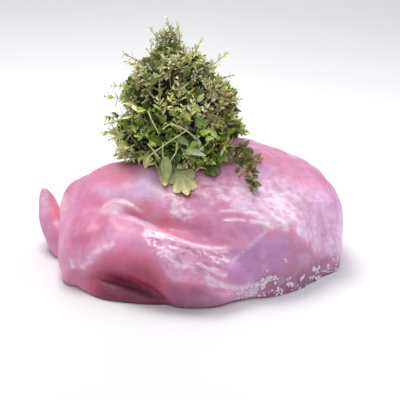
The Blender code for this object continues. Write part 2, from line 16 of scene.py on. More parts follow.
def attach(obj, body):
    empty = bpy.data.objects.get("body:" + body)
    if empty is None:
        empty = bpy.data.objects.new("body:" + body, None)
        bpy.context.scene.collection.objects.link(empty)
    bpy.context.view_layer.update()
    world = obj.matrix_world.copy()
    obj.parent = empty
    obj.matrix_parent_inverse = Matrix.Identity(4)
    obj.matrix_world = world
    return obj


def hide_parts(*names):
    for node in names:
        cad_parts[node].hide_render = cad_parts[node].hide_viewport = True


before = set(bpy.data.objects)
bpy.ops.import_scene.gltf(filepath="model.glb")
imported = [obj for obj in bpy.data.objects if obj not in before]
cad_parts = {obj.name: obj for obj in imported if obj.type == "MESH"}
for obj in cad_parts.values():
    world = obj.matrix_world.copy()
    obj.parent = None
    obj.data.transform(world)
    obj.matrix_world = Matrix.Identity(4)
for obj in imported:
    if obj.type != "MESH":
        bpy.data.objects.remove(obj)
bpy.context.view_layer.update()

MM = 0.001
BREAST_CELL = 2.4    # grid of the breast before it is subdivided once
BREAST_BOX = (-135, -125, -6), (130, 75, 105)
CORE_CELL = 3.0
CORE_BOX = (-78, -52, 44), (48, 52, 180)
FAR_FROM_ROLL = 26.0
FRONT_SLANT = math.radians(22.66)           # heights on the front are as the camera sees them

# ---- the photograph's camera ----
CAMERA_PLACE = (-0.0002, -0.77108, 0.35878)
CAMERA_TILT = math.radians(22.663)
CAMERA_ROLL = math.radians(2.114)
CAMERA_LENS = 97.5

# ---- the breast's form, as in the solid ----
# lobes: middle, radii, turns in degrees, how much the lower half is stretched, blend with the others
LOBES = (
    ((4, -22, 26), (88, 60, 50), (0, 0, 0), 1.6, 14),
    ((44, -43, 18), (53, 43, 38), (38, -4, 0), 3.0, 14),
    ((20, -2, 44), (60, 42, 45), (0, -6, 0), 1.0, 14),
    ((62, -5, 31), (43, 42, 44), (14, -14, 0), 2.0, 14),
    ((85, -14, 24), (20, 33, 35), (24, 0, 0), 3.0, 12),
    ((-52, -14, 34), (46, 44, 36), (0, 8, 0), 1.6, 12),
    ((-76, -58, 16), (19, 29, 24), (-40, 0, 0), 3.0, 12),
)
BELLY = ((-6, -84, 6), (30, 25, 20), (0, 0, 0), 1.0)
# rolls: x, y, z, radius
FOLD = ((-76, -54, 22, 18), (-58, -66, 22, 22), (-34, -76, 23, 25),
        (-10, -84, 21, 25), (6, -88, 16, 22), (18, -86, 12, 16))
RIDGE = ((-84, 2, 45, 6), (-93, -10, 44, 8), (-96, -22, 38, 8.5), (-94, -38, 27, 8.5),
         (-91.5, -60, 12, 9.5))
HOLLOW = ((-74, -96, 14.5, 2), (-62, -97.5, 14.5, 4.5), (-50, -99.5, 13, 5.5),
          (-38, -102.5, 10, 6), (-30, -105, 6.5, 6), (-22, -108.5, 0, 5))
UNDER = ((-77, -80, 2.5, 8.5), (-61, -91, 0, 9), (-43, -94.5, -1, 9), (-26, -97, -2, 7.5))
FLAP_ROOT = ((-103, -20, 8), (11, 17, 15), (20, 0, 0), 1.5)
FLAP = ((-98, -36, -2, 4), (-104, -28, 6, 7.5), (-109.5, -18, 15, 9.5),
        (-114.5, -10, 24, 9.5), (-117.8, -4, 31.5, 7.8), (-120, -1, 38, 4.2))
# lines on the front: x, height on the slanted front
CREASE = ((-74, 25), (-66, 24), (-58, 22.6), (-50, 20.8), (-42, 17.9), (-33, 14.8), (-25, 11.3),
          (-16, 7.9), (-8, 5.7), (2, 3.4), (14, 2), (26, 3.4), (36, 6.5))
TONGUE = ((-72, 24), (-68, 28), (-62, 30.5), (-55, 30.2), (-48, 27), (-42, 23.5), (-34, 20))

# ---- more lines on the front, of the same kind ----
FACE_TOP = ((-81, -21), (-77, -16), (-70, -9), (-63, -4), (-50, -1.5), (-37, -1.5), (-30, -6),
            (-24, -13), (-20, -20), (-14, -23), (-4, -23), (4, -25), (12, -29), (24, -35))
HEM = ((-4, -21), (2, -23), (7, -25.5), (13, -27), (19, -27.5), (24, -26.5), (30, -24), (36, -20))
SILVER_ARC = ((20, -12), (24, -8), (30, -2), (36, 3), (43, 10), (52, 16), (60, 18))
# along the fold's crest, where its narrow and broad painted highlights run
CREST_LIGHT = ((-83, -18), (-79, -13.5), (-73, -7.5), (-66, -2), (-57, 2))
CREST_BROAD_HIGHLIGHT = ((-90, -22), (-79, -10), (-68, 1), (-55, 8), (-38, 9), (-22, 4), (-10, -3))
MEMBRANE_EDGE = ((18, 31), (28, 26), (39, 20), (51, 15), (65, 14), (72, 10), (84, 2), (98, -5))
# where the painted shadow line runs under the fold
DARK_LINE = ((-66, -21.5), (-60, -23), (-53, -24.8), (-46, -27.2), (-37.5, -30.2), (-30.5, -34.2),
             (-23, -40))
# where painted shade runs beside the ridge
RIDGE_LINE = ((-87, 48), (-89, 42), (-90.5, 36), (-92, 28))
# the wet part's right edge: heights, and how far along the edge is there
FOLD_EDGE = ((-34, -28, -22, -15, -6.5, 3.5, 8), (28, 23, 15, 14, 17, 25, 34))
# short painted highlights, as bright lines: points, width
GLEAMS = (
    (((12, 26.5), (24, 27), (36, 26), (44, 25)), 1.1),
    (((16, 20.5), (25, 21), (34, 20.2)), 1.0),
    (((34, 20.5), (42, 19.5), (50, 17.5)), 1.2),
    (((8, -12), (14, -16), (21, -17.5)), 1.5),
    (((4, -17.5), (11, -21), (19, -23.5)), 1.6),
    (((16, -6), (19, -7.5), (22, -8)), 1.0),
    (((14, -22.5), (23, -25.5), (32, -26), (41, -23.5)), 1.5),
    (((-26, 0), (-20, -2.5), (-14, -4)), 1.2),
    (((-90.5, -10), (-89.5, -14), (-88.5, -18)), 1.4),
    (((-19, -8), (-13, -11), (-7, -13)), 1.2),
)

# ---- the herbs, as in the solid ----
CORE_LOBES = (
    ((-17, -3, 86), (48, 35, 30), (-8, 0, 0), 1.0, 0),
    ((-17, 1, 116), (42, 30, 25), (-6, 0, 0), 1.0, 10),
    ((-22, 1, 138), (27, 22, 16), (0, 0, 0), 1.0, 10),
    ((-28, 1, 154), (9, 9, 12), (0, 0, 0), 1.0, 8),
)
# an ellipsoid inside the bunch, from which places are settled on the core
CORE_MIDDLE = (-19, 0, 108)
CORE_REACH = (46, 32, 52)
BUNCH_FOOT = (-16, 2, 82)
# tips of the sprigs that stand out furthest
OUTER_TIPS = (
    (-29, 0, 177), (-41, -3, 171), (-21, 2, 174), (-3, 1, 163), (16, -5, 155), (-59, -4, 151),
    (-58, 6, 143), (-72, -6, 119), (-73, -10, 92), (27, -6, 121), (34, -10, 97), (20, 3, 136),
)
THYME_ROUTE = ((27, -14, 88), (31.7, -26, 82), (36.5, -38, 75), (36, -53, 66))
THYME_KEEP_OUT = tuple((*place, 7.0) for place in THYME_ROUTE)     # tube that the bunch leaves free

# ---- the herbs of the scene alone ----
CORE_SHRINK = 5.0       # the dark core lies this far under the solid's core, below the leaves
CORE_LIFT = 1.0         # of its underside over the meat
# tips of more sprigs: at the left side, and round the spire at the top
SIDE_TIPS = ((-71, -12, 104), (-72, -6, 98), (-68, -18, 90), (-67, -8, 128))
SPIRE_TIPS = ((-25, 2, 169), (-34, -1, 166), (-30, -3, 161), (-22, -4, 163), (-38, 0, 158), (-16, 2, 158),
              (-28, 4, 172), (-33, -6, 153), (-26, -2, 173), (-31, 1, 170), (-24, -3, 166), (-29, 2, 165))
# bare pale stems at the front
PETIOLES = (
    ((-40.8, -38, 83.2), (-26, -45, 97.8), (-11.3, -43, 107.9)),
    ((-39, -40, 95.5), (-34.4, -44, 91.8), (-30, -46, 86.6)),
    ((-39.6, -36, 119), (-35.7, -41, 112.3), (-31.2, -44, 105.2)),
    ((-28.4, -43, 108), (-23.5, -45, 112.6), (-17.7, -45, 111.3), (-11.3, -44, 107.9), (-4, -45, 102.1)),
    ((-28, -40, 97), (-28.2, -43, 91), (-27, -42, 84), (-25, -39, 79)),
    ((-18, -41, 98), (-18.5, -44, 92), (-21.5, -43.5, 86), (-24.5, -40, 80)),
)
# thin red stems at the front
LOOSE_STEMS = (
    ((-30, -14, 150), (-31, -22, 142), (-33, -26, 132)),
    ((-24, -18, 152), (-25, -24, 143), (-24, -28, 134)),
    ((2, -28, 130), (8, -30, 136), (18, -22, 137)),
    ((-2, -30, 124), (7, -33, 131), (12, -31, 128), (19, -26, 131)),
    ((-50, -26, 121), (-45, -31, 114), (-42, -35, 106)),
    ((-58, -26, 104), (-52, -31, 98), (-45, -36, 90)),
    ((6, -34, 118), (14, -34, 112), (20, -32, 104)),
)
# foot and tip of upright sprigs at the front
FRONT_SPRIGS = (
    ((-20, -31, 110), (-24, -34, 131)), ((-10, -32, 108), (-8, -34, 127)),
    ((-15, -34, 105), (-15, -37, 123)), ((-28, -31, 109), (-33, -32, 128)),
    ((-2, -32, 108), (2, -33, 124)), ((-18, -28, 124), (-19, -29, 141)),
)
FILL_SPRIGS = 400
SKIRT_SPRIGS = 84
MANTLE_LEAVES = 420
MANTLE_LEVEL = -2.0     # where these leaves start, out from the core's surface
INNER_LEAVES = 560
INNER_LEVEL = -5.4
LEAF_LEAN = 0.66        # how far the leaf pairs of the sprigs open
LEAF_CLEARANCE = 1.2    # over the meat
SPRIG_CLEARANCE = 3.0
LOWEST_RAY = -0.55      # the bunch has leaves from the top down to this share of its reach
THYME_TWIGS = (
    ((30, -19, 86), (25, -27, 83), (21, -33, 80)), ((31, -22, 84), (38, -25, 82), (43, -26, 80)),
    ((33, -30, 80), (29, -36, 78), (27, -41, 76)),
)
# three sets of leaf pairs along the thyme sprig: how far they open, spacing, lengths
THYME_LEAVES = ((0.8, 3.0, (5.5, 9.0)), (0.6, 3.6, (4.5, 7.5)), (0.95, 4.2, (4.0, 7.5)))
THYME_LIFT = 2.4        # of the sprig's stems over the meat


def linear(red, green, blue):
    """Shader colour of a screen colour given from 0 to 255."""
    share = np.array((red, green, blue)) / 255.0
    return np.where(share <= 0.04045, share / 12.92, ((share + 0.055) / 1.055)**2.4)


# ---- colours ----
PINK = linear(228, 154, 190)
ROSE = linear(228, 142, 178)
LEFT_ROSE = linear(202, 104, 144)
HIGHLIGHT_PINK = linear(240, 182, 216)
TOP_ROSE = linear(216, 120, 152)
CREST_HIGHLIGHT_PINK = linear(255, 212, 236)
LILAC = linear(214, 182, 224)
PALE = linear(240, 212, 240)
# white of froth and of painted highlights: frothy spots, tongue, lip, short bright lines and the brightest
# membrane
FROTH_AND_HIGHLIGHT_WHITE = linear(246, 222, 238)
RED_BAND = linear(214, 130, 158)
RED_HOLLOW = linear(220, 118, 134)
RED_SPOT = linear(158, 62, 90)
# the fold's face, which turns down: redder meat, and darker still as painted shade
FACE = linear(212, 116, 146)
FACE_DEEP_SHADE = linear(162, 58, 92)
FACE_LOW_SHADED = linear(146, 82, 118)
WET = linear(234, 196, 226)
WET_DARK = linear(182, 122, 148)
MAUVE = linear(184, 122, 168)
RIM_MAUVE = linear(220, 156, 210)
FOOT_SHADE = linear(140, 92, 114)
# the layer under the fold: brownish meat, darkened as painted shade
UNDER_BROWN_SHADE = linear(122, 52, 80)
UNDER_RED = linear(186, 92, 118)
HOLLOW_SHADE = linear(98, 16, 44)
VIOLET = linear(194, 140, 190)
CREAM = linear(222, 184, 198)
PEACH_HIGHLIGHT = linear(254, 200, 208)
CORNER = linear(188, 122, 152)

LEAF_DEEP = linear(92, 112, 40)
LEAF_GREEN = linear(136, 164, 66)
LEAF_OLIVE = linear(166, 178, 94)
LEAF_BRIGHT = linear(204, 220, 100)
LEAF_GREY = linear(190, 202, 158)
LEAF_BROWN = linear(150, 124, 90)
LEAF_DUSTY = linear(184, 168, 124)
PARSLEY = linear(202, 204, 146)
# the parsley green of a leaf in shade, darkened as painted shade
PARSLEY_SHADED = linear(90, 106, 54)
LEAF_LIMIT = linear(208, 214, 164)
STEM_GREEN = linear(182, 188, 118)
STEM_PALE = linear(202, 208, 142)
STEM_RED = linear(188, 142, 122)
# leaf greens from the darkest patches to the lightest, at the foot, in the middle and at the top
FOOT_GREENS = (LEAF_DEEP, LEAF_GREEN, LEAF_GREEN, LEAF_OLIVE, LEAF_BRIGHT, LEAF_BRIGHT, LEAF_GREY)
MIDDLE_GREENS = (LEAF_DEEP, LEAF_GREEN, LEAF_OLIVE, LEAF_OLIVE, LEAF_BRIGHT, LEAF_GREY, LEAF_DUSTY)
TOP_GREENS = (LEAF_OLIVE, LEAF_DUSTY, LEAF_GREY, LEAF_GREY, LEAF_DUSTY, LEAF_GREY)
WILTED = (LEAF_DUSTY, linear(188, 150, 112), LEAF_BROWN)
THYME_COLOURS = (LEAF_BROWN, LEAF_BROWN, LEAF_OLIVE, LEAF_DEEP, LEAF_DEEP, LEAF_DUSTY)
THYME_WARMTH = np.array((1.0, 0.97, 0.8))
SALT_COLOURS = (linear(250, 226, 240), linear(242, 208, 228), linear(248, 236, 244), linear(236, 208, 224))
# single leaves at the front of the bunch: stalk end, tip, width, screen colour
LOOSE_LEAVES = (
    ((-12, -43, 92.5), (3, -46, 91), 4.6, (184, 198, 156)),
    ((-18, -39, 101), (-10, -43, 97), 5.0, (140, 154, 108)),
    ((-6, -37, 114), (2, -38.5, 111), 5.0, (104, 146, 46)),
    ((-1, -37, 103), (5, -40, 107), 4.2, (190, 210, 92)),
    ((2, -37, 99), (8, -39.5, 102), 4.0, (196, 214, 112)),
    ((5, -36, 106), (11, -38, 101), 4.0, (176, 202, 90)),
    ((-8, -34, 124), (-2, -36, 120), 4.2, (180, 198, 84)),
    ((-48, -30, 117), (-42, -34, 119), 4.4, (182, 190, 100)),
    ((-13, -35, 118), (-9, -37, 113), 4.0, (186, 202, 96)),
    ((-4, -37, 98), (-9, -40, 93), 4.0, (170, 190, 96)),
    ((-26, -41, 87), (-24.5, -50.5, 71), 7.6, (170, 178, 118)),
)
LOOSE_FACE = np.array((0.0, -0.75, 0.65))      # their upper sides turn forward and up


# ---- distance fields, negative inside ----
ROLL_STEPS = 10         # pieces of a roll between two of its given places
SLOPE_STEP = 0.0002
WAVE_COUNT = 7


def ramp(value, low, high):
    """Smooth step from 0 at low to 1 at high, also where high is the lower one."""
    t = np.clip((value - low) / (high - low), 0.0, 1.0)
    return t * t * (3.0 - 2.0 * t)


def bell(distance, width):
    """1 on a line, falling to 0 on both sides of it."""
    return np.exp(-(distance / width)**2)


def smooth_min(a, b, blend):
    h = np.clip(0.5 + 0.5 * (b - a) / blend, 0.0, 1.0)
    return b + (a - b) * h - blend * h * (1.0 - h)


def smooth_max(a, b, blend):
    return -smooth_min(-a, -b, blend)


def turned(yaw, pitch, roll):
    """Rotation matrix whose columns are a lobe's own axes."""
    cy, cp, cr = (math.cos(math.radians(a)) for a in (yaw, pitch, roll))
    sy, sp, sr = (math.sin(math.radians(a)) for a in (yaw, pitch, roll))
    about_z = np.array(((cy, -sy, 0), (sy, cy, 0), (0, 0, 1)))
    about_y = np.array(((cp, 0, -sp), (0, 1, 0), (sp, 0, cp)))
    about_x = np.array(((1, 0, 0), (0, cr, -sr), (0, sr, cr)))
    return about_z @ about_y @ about_x


def lobe_field(p, centre, radii, angles, slump):
    """Ellipsoid, with the half below its centre stretched by slump."""
    q = p - np.array(centre, float)
    q[..., 2] = np.where(q[..., 2] < 0, q[..., 2] / slump, q[..., 2])
    q = q @ turned(*angles)
    r = np.array(radii, float)
    near = np.linalg.norm(q / r, axis=-1)
    steep = np.linalg.norm(q / r**2, axis=-1)
    return near * (near - 1.0) / np.maximum(steep, 1e-9)


@functools.lru_cache(maxsize=None)
def smooth_route(points, steps):
    """Places on a Catmull-Rom curve through the given tuples, whatever they hold."""
    pts = np.array(points, float)
    pts = np.vstack((2 * pts[0] - pts[1], pts, 2 * pts[-1] - pts[-2]))
    out = []
    for p0, p1, p2, p3 in zip(pts[:-3], pts[1:-2], pts[2:-1], pts[3:]):
        for t in np.arange(steps) / steps:
            bend = 2 * p0 - 5 * p1 + 4 * p2 - p3
            out.append(0.5 * (2 * p1 + (p2 - p0) * t + bend * t**2 + (3 * p1 - p0 - 3 * p2 + p3) * t**3))
    out.append(pts[-2])
    return np.array(out)


def roll_field(p, route):
    """Tube along a route of (x, y, z, radius). Far from it, the distance to its box is enough."""
    line = smooth_route(route, ROLL_STEPS)
    low = (line[:, :3] - line[:, 3:]).min(0)
    high = (line[:, :3] + line[:, 3:]).max(0)
    from_box = np.array(np.linalg.norm(np.maximum(np.maximum(low - p, p - high), 0.0), axis=-1))
    near = from_box < FAR_FROM_ROLL
    q = p[near]
    nearest = np.full(len(q), 1e9)
    for a, b in zip(line[:-1], line[1:]):
        along = b[:3] - a[:3]
        t = np.clip(((q - a[:3]) @ along) / (along @ along), 0.0, 1.0)
        offset = q - a[:3] - t[:, None] * along
        gap = np.sqrt(np.einsum("ij,ij->i", offset, offset))
        nearest = np.minimum(nearest, gap - a[3] - (b[3] - a[3]) * t)
    from_box[near] = nearest
    return from_box


def height_on(line, along):
    """Height of a line on the front at each place along the breast."""
    fine = smooth_route(line, 8)
    return np.interp(along, fine[:, 0], fine[:, 1])


def waves(p, length, seed):
    """Gentle unevenness, about -1 to 1: sine waves in random directions."""
    rng = np.random.default_rng(seed)
    total = np.zeros(p.shape[:-1])
    for _ in range(WAVE_COUNT):
        direction = rng.normal(size=3)
        direction /= np.linalg.norm(direction)
        rate = 2.0 * math.pi / (length * rng.uniform(0.75, 1.5))
        total += np.sin(p @ direction * rate + rng.uniform(0.0, 2.0 * math.pi))
    return 0.9 * total / math.sqrt(WAVE_COUNT)


def front_view(p):
    """Along, height on the slanted front, and how far a place belongs to the front."""
    up = p[..., 2] * math.cos(FRONT_SLANT) + p[..., 1] * math.sin(FRONT_SLANT)
    return p[..., 0], up, 1.0 - ramp(p[..., 1], -34, -14)


def crease_relief(p):
    """What the crease, its lip and the tongue beside it add to the field on the front."""
    x, up, front = front_view(p)
    above = up - height_on(CREASE, x)
    band = np.where(above > 0, bell(above, 9.0), 1.0 - ramp(-above, 0, 3.0))
    sunk = 2.7 * ramp(x, -60, -38) * (1 - ramp(x, -16, 30)) * band
    lip = 0.7 * ramp(x, -56, -38) * (1 - ramp(x, 20, 38)) * bell(above + 3.0, 2.8)
    over = up - height_on(TONGUE, x)
    reach = ramp(x, -71, -66) * (1 - ramp(x, -46, -36))
    tongue = 1.1 * reach * np.where(over > 0, 1 - ramp(over, 0, 2.0), 1 - ramp(-over, 0.5, 7))
    shade = 0.7 * reach * bell(over - 2.6, 2.2)
    return front * (sunk - lip - tongue + shade)


def back_seam(p):
    """Shallow seam between two muscles along the back."""
    height = 40.0 + 9.0 * np.sin(p[..., 0] / 34.0)
    return 2.4 * ramp(p[..., 1], 8, 24) * bell(p[..., 2] - height, 5.0)


def melted(p, lobes):
    """Field of lobes that melt into each other."""
    d = lobe_field(p, *lobes[0][:4])
    for *lobe, blend in lobes[1:]:
        d = smooth_min(d, lobe_field(p, *lobe), blend)
    return d


def breast_field(points):
    """Field of the breast; its points and distances are in metres."""
    p = points / MM
    x = p[..., 0]
    d = melted(p, LOBES)
    fold_blend = 5 + 12 * (1 - ramp(x, -62, -38)) + 8 * ramp(x, 0, 20)
    d = smooth_min(d, roll_field(p, FOLD), fold_blend)
    d = smooth_min(d, roll_field(p, RIDGE), 6)
    d = smooth_min(d, lobe_field(p, *BELLY), 10)
    d = d + crease_relief(p) + back_seam(p)
    d = smooth_max(d, -roll_field(p, HOLLOW), 3.5)
    d = smooth_min(d, roll_field(p, UNDER), 2.5)
    flap = smooth_min(roll_field(p, FLAP), lobe_field(p, *FLAP_ROOT), 5)
    d = smooth_min(d, flap, 4)
    d = d + waves(p, 60, 5) + 0.35 * waves(p, 22, 8)
    return smooth_max(d, -p[..., 2], 2.5) * MM


def core_field(points):
    """Field of the herbs' core: lumpy like packed leaves, and kept clear of the thyme sprig."""
    p = points / MM
    d = melted(p, CORE_LOBES) + 1.8 * waves(p, 21, 21)
    return smooth_max(d + 1.2, -roll_field(p, THYME_KEEP_OUT), 4) * MM


def inner_core_field(points):
    """Field of the dark core: smaller than the solid's, and just clear of the meat."""
    return np.maximum(core_field(points) + CORE_SHRINK * MM, CORE_LIFT * MM - breast_field(points))


def slope(field, points):
    """Gradient of a field by central differences."""
    out = np.empty_like(points)
    for axis in range(3):
        shift = np.zeros(3)
        shift[axis] = SLOPE_STEP
        out[..., axis] = (field(points + shift) - field(points - shift)) / (2.0 * SLOPE_STEP)
    return out


def settle(field, points, level, rounds, reach=0.004):
    """Move points along the slope until the field there equals level."""
    for _ in range(rounds):
        g = slope(field, points)
        size = np.maximum((g**2).sum(-1, keepdims=True), 0.05)
        move = (level - field(points))[..., None] * g / size
        span = np.linalg.norm(move, axis=-1, keepdims=True)
        points = points + move * np.minimum(1.0, reach / np.maximum(span, 1e-12))
    return points


def surface_nets(field, low, high, cell):
    """Closed quad mesh of field = 0, one vertex for each grid cell that the surface crosses."""
    counts = np.ceil((np.array(high) - low) / cell).astype(int) + 1
    axes = [low[i] + cell * np.arange(counts[i]) for i in range(3)]
    grid = np.stack(np.meshgrid(*axes, indexing="ij"), -1)
    value = np.stack([field(layer) for layer in grid])
    cells = counts - 1
    total = np.zeros((*cells, 3))
    crossings = np.zeros(tuple(cells))

    def corner(offset):
        spans = tuple(slice(o, o + c) for o, c in zip(offset, cells))
        return value[spans]

    for axis in range(3):
        others = [a for a in range(3) if a != axis]
        for side in itertools.product((0, 1), repeat=2):
            start = np.zeros(3, int)
            start[others] = side
            stop = start.copy()
            stop[axis] = 1
            a, b = corner(start), corner(stop)
            cut = (a < 0) != (b < 0)
            place = np.empty((*cells, 3))
            place[..., axis] = np.where(cut, a / np.where(a == b, 1.0, a - b), 0.0)
            place[..., others] = side
            total += place * cut[..., None]
            crossings += cut
    used = crossings > 0
    number = np.full(tuple(cells), -1)
    number[used] = np.arange(used.sum())
    points = (np.argwhere(used) + total[used] / crossings[used][:, None]) * cell + low
    quads = []
    inside = value < 0
    for axis in range(3):
        u, v = ((1, 2), (2, 0), (0, 1))[axis]
        a = np.take(inside, range(cells[axis]), axis=axis)
        b = np.take(inside, range(1, cells[axis] + 1), axis=axis)
        at = np.argwhere(a != b)
        outward = a[tuple(at.T)]
        ring = []
        for du, dv in ((0, 0), (1, 0), (1, 1), (0, 1)):
            cell_at = at.copy()
            cell_at[:, u] -= du
            cell_at[:, v] -= dv
            ring.append(number[tuple(cell_at.T)])
        quad = np.stack(ring, 1)
        quad[~outward] = quad[~outward][:, ::-1]
        quads.append(quad)
    return points, np.vstack(quads)


# ---- meshes ----
def add_object(name, points, faces):
    """A new smooth-shaded object in the scene."""
    mesh = bpy.data.meshes.new(name)
    mesh.from_pydata(np.asarray(points).tolist(), [], [tuple(int(i) for i in f) for f in faces])
    mesh.update()
    mesh.shade_smooth()
    thing = bpy.data.objects.new(name, mesh)
    bpy.context.scene.collection.objects.link(thing)
    return thing


def points_of(thing):
    flat = np.zeros(3 * len(thing.data.vertices))
    thing.data.vertices.foreach_get("co", flat)
    return flat.reshape(-1, 3)


def move_points(thing, points):
    thing.data.vertices.foreach_set("co", np.asarray(points, float).ravel())
    thing.data.update()


def give(thing, name, kind, values):
    """Write one value for each point into a new attribute."""
    field = {"FLOAT": "value", "FLOAT_VECTOR": "vector", "FLOAT_COLOR": "color"}[kind]
    layer = thing.data.attributes.new(name, kind, "POINT")
    layer.data.foreach_set(field, np.asarray(values, np.float32).ravel())


def give_tint(thing, colours):
    rgba = np.ones((len(colours), 4))
    rgba[:, :3] = np.clip(colours, 0.0, 1.0)
    give(thing, "tint", "FLOAT_COLOR", rgba)


def subdivide(thing):
    smoother = thing.modifiers.new("finer", "SUBSURF")
    smoother.levels = 1
    smoother.render_levels = 1
    graph = bpy.context.evaluated_depsgraph_get()
    finer = bpy.data.meshes.new_from_object(thing.evaluated_get(graph))
    thing.modifiers.clear()
    old = thing.data
    thing.data = finer
    finer.name = thing.name
    bpy.data.meshes.remove(old)


def unit(vectors):
    """Each vector, or the only one, at length 1."""
    return vectors / np.maximum(np.linalg.norm(vectors, axis=-1, keepdims=True), 1e-12)


def noise_on(places, length, seed, octaves=3):
    """Fractal noise from -1 to 1 at places in mm."""
    shift = Vector((17.3 * seed, -9.1 * seed, 5.7 * seed))
    values = [noise.fractal(Vector(p) / length + shift, 0.9, 2.1, octaves) for p in places.tolist()]
    return np.array(values)


# ---- the front of the breast ----
def spot(u, v, centre, radii, angle=0.0, soft=0.8):
    """1 inside an ellipse on the front, falling to 0 round its rim."""
    c, s = math.cos(math.radians(angle)), math.sin(math.radians(angle))
    a = (u - centre[0]) * c + (v - centre[1]) * s
    b = -(u - centre[0]) * s + (v - centre[1]) * c
    return 1.0 - ramp(np.hypot(a / radii[0], b / radii[1]), 1.0 - soft, 1.0 + soft)


def streak(u, v, route, width):
    """1 on a line on the front, fading over its width and at both of its ends."""
    line = smooth_route(route, 6)
    nearest = np.full(len(u), 1e9)
    share = np.zeros(len(u))
    for i, (a, b) in enumerate(zip(line[:-1], line[1:])):
        along = b - a
        t = np.clip(((u - a[0]) * along[0] + (v - a[1]) * along[1]) / (along @ along), 0, 1)
        gap = np.hypot(u - a[0] - t * along[0], v - a[1] - t * along[1])
        closer = gap < nearest
        nearest = np.where(closer, gap, nearest)
        share = np.where(closer, (i + t) / (len(line) - 1), share)
    return bell(nearest, width) * ramp(share, 0, 0.12) * (1 - ramp(share, 0.88, 1))


# regions of the front as products of soft steps: what is measured, where the step is 0, where it is 1
STEPPED = {
    # the fold's face: redder meat with painted shade, deepest further down and on its lower right
    "face": (("depth", -3, 6), ("u", -84, -72), ("u", 36, 20)),
    "face_deep_shade": (("depth", 3, 19), ("u", -84, -68), ("u", -10, -24)),
    "face_low_shaded": (("depth", -3, 6), ("u", 36, 20), ("u", -28, -14)),
    "rim_mauve": (("u", 66, 84), ("v", 60, 48)),
    "foot_shade": (("u", 38, 56), ("z", 30, 6)),
    # the band above the crease: redder meat, and painted shade where it is sunk
    "band": (("u", -60, -44), ("u", 40, 4), ("above", -1, 1), ("above", 20, 9)),
    "wet": (("u", -44, -26), ("past_wet", 6, -7), ("depth", 2, -5), ("above", -1, -5)),
    # painted shade inside the hollow under the fold
    "hollow": (("from_hollow", 2.0, -0.5), ("u", -68, -54), ("from_under", 0.4, 2.4),
               ("below_dark", -2.5, 0)),
    # the layer under the fold: brownish meat, and painted shade as it lies in the fold's shadow
    "under": (("from_under", 2.6, 0.6), ("u", -74, -62)),
    "under_red": (("v", -15, -21), ("u", -98, -90), ("u", -60, -72)),
    "violet": (("past_violet", -12, 12), ("over_edge", 0, -6), ("u", 84, 58), ("v", -34, -22)),
    "corner": (("u", 56, 76), ("over_edge", 0, -6)),
    "lip": (("u", -58, -44), ("u", 26, 8)),
    "crease_reach": (("u", -60, -46), ("u", 26, 6)),
    "hem_reach": (("u", -6, 6), ("u", 38, 28)),
}
# soft patches of the front: middle, radii, turn in degrees
PATCHES = {
    "low_pale": ((20, -36), (20, 6), 0), "wet_dark": ((8, -6), (12, 8), -10),
    "mauve": ((20, 11), (24, 9), -8), "right_rose": ((78, 54), (18, 8), -10),
    "left_rose": ((-77, 11), (13, 15), 0), "red_hollow": ((-33, 22), (13, 7), -28),
    # lilac silverskin, with its bluish sheen painted in
    "lilac": ((-41, 46), (14, 11), -30), "cream": ((-26, 37), (9, 5), -10),
    "rose": ((-74, 36), (22, 12), 20), "pale_patch": ((-60, 37), (15, 6), -8),
    # painted highlight along the ridge's left side
    "ridge": ((-96, 8), (3.5, 30), 2),
}
# and of the left end, round the flap
END_PATCHES = {
    "flap_pale": ((-120, 28), (4.5, 10), 10), "flap_grey": ((-113, 4), (6, 12), 30),
    # the peach spot is a painted highlight on the ridge's left edge
    "flap_red": ((-111, 22), (3, 10), 14), "ridge_peach_highlight": ((-102, 25), (3.5, 8), 4),
}


def measures(p):
    """What the regions depend on: places on the front, distances to its lines, and noises."""
    u, v, front = front_view(p)
    wobble = noise_on(p, 10.0, 3)
    fine = noise_on(p, 3.4, 4)
    lean = np.radians(-18 - 62 * ramp(u, 70, 98))
    along, over = u * np.cos(lean) + v * np.sin(lean), v * np.cos(lean) - u * np.sin(lean)
    sinew = noise_on(np.stack((along * 0.5, over, p[:, 1] * 0.5), 1), 4.6, 6)
    slanted = np.stack((u * 0.26 - v * 0.18, v * 0.8 + u * 0.5, p[:, 1] * 0.4), 1)
    dashes = noise_on(slanted, 3.4, 14)
    past_fold = u - np.interp(v, *FOLD_EDGE)
    return {
        "front": front, "u": u, "v": v, "z": p[:, 2],
        "wobble": wobble, "fine": fine, "sinew": sinew, "dashes": dashes,
        "depth": height_on(FACE_TOP, u) - v,
        "above": v - height_on(CREASE, u),
        "below_dark": height_on(DARK_LINE, u) - v,
        "over_edge": v - height_on(MEMBRANE_EDGE, u) + 4 * wobble + 3 * sinew,
        "past_fold": past_fold,
        "past_wet": past_fold + 2 * wobble + 4 * dashes,
        "past_violet": past_fold + 6 * wobble,
        "from_hollow": roll_field(p, HOLLOW),
        "from_under": roll_field(p, UNDER),
    }


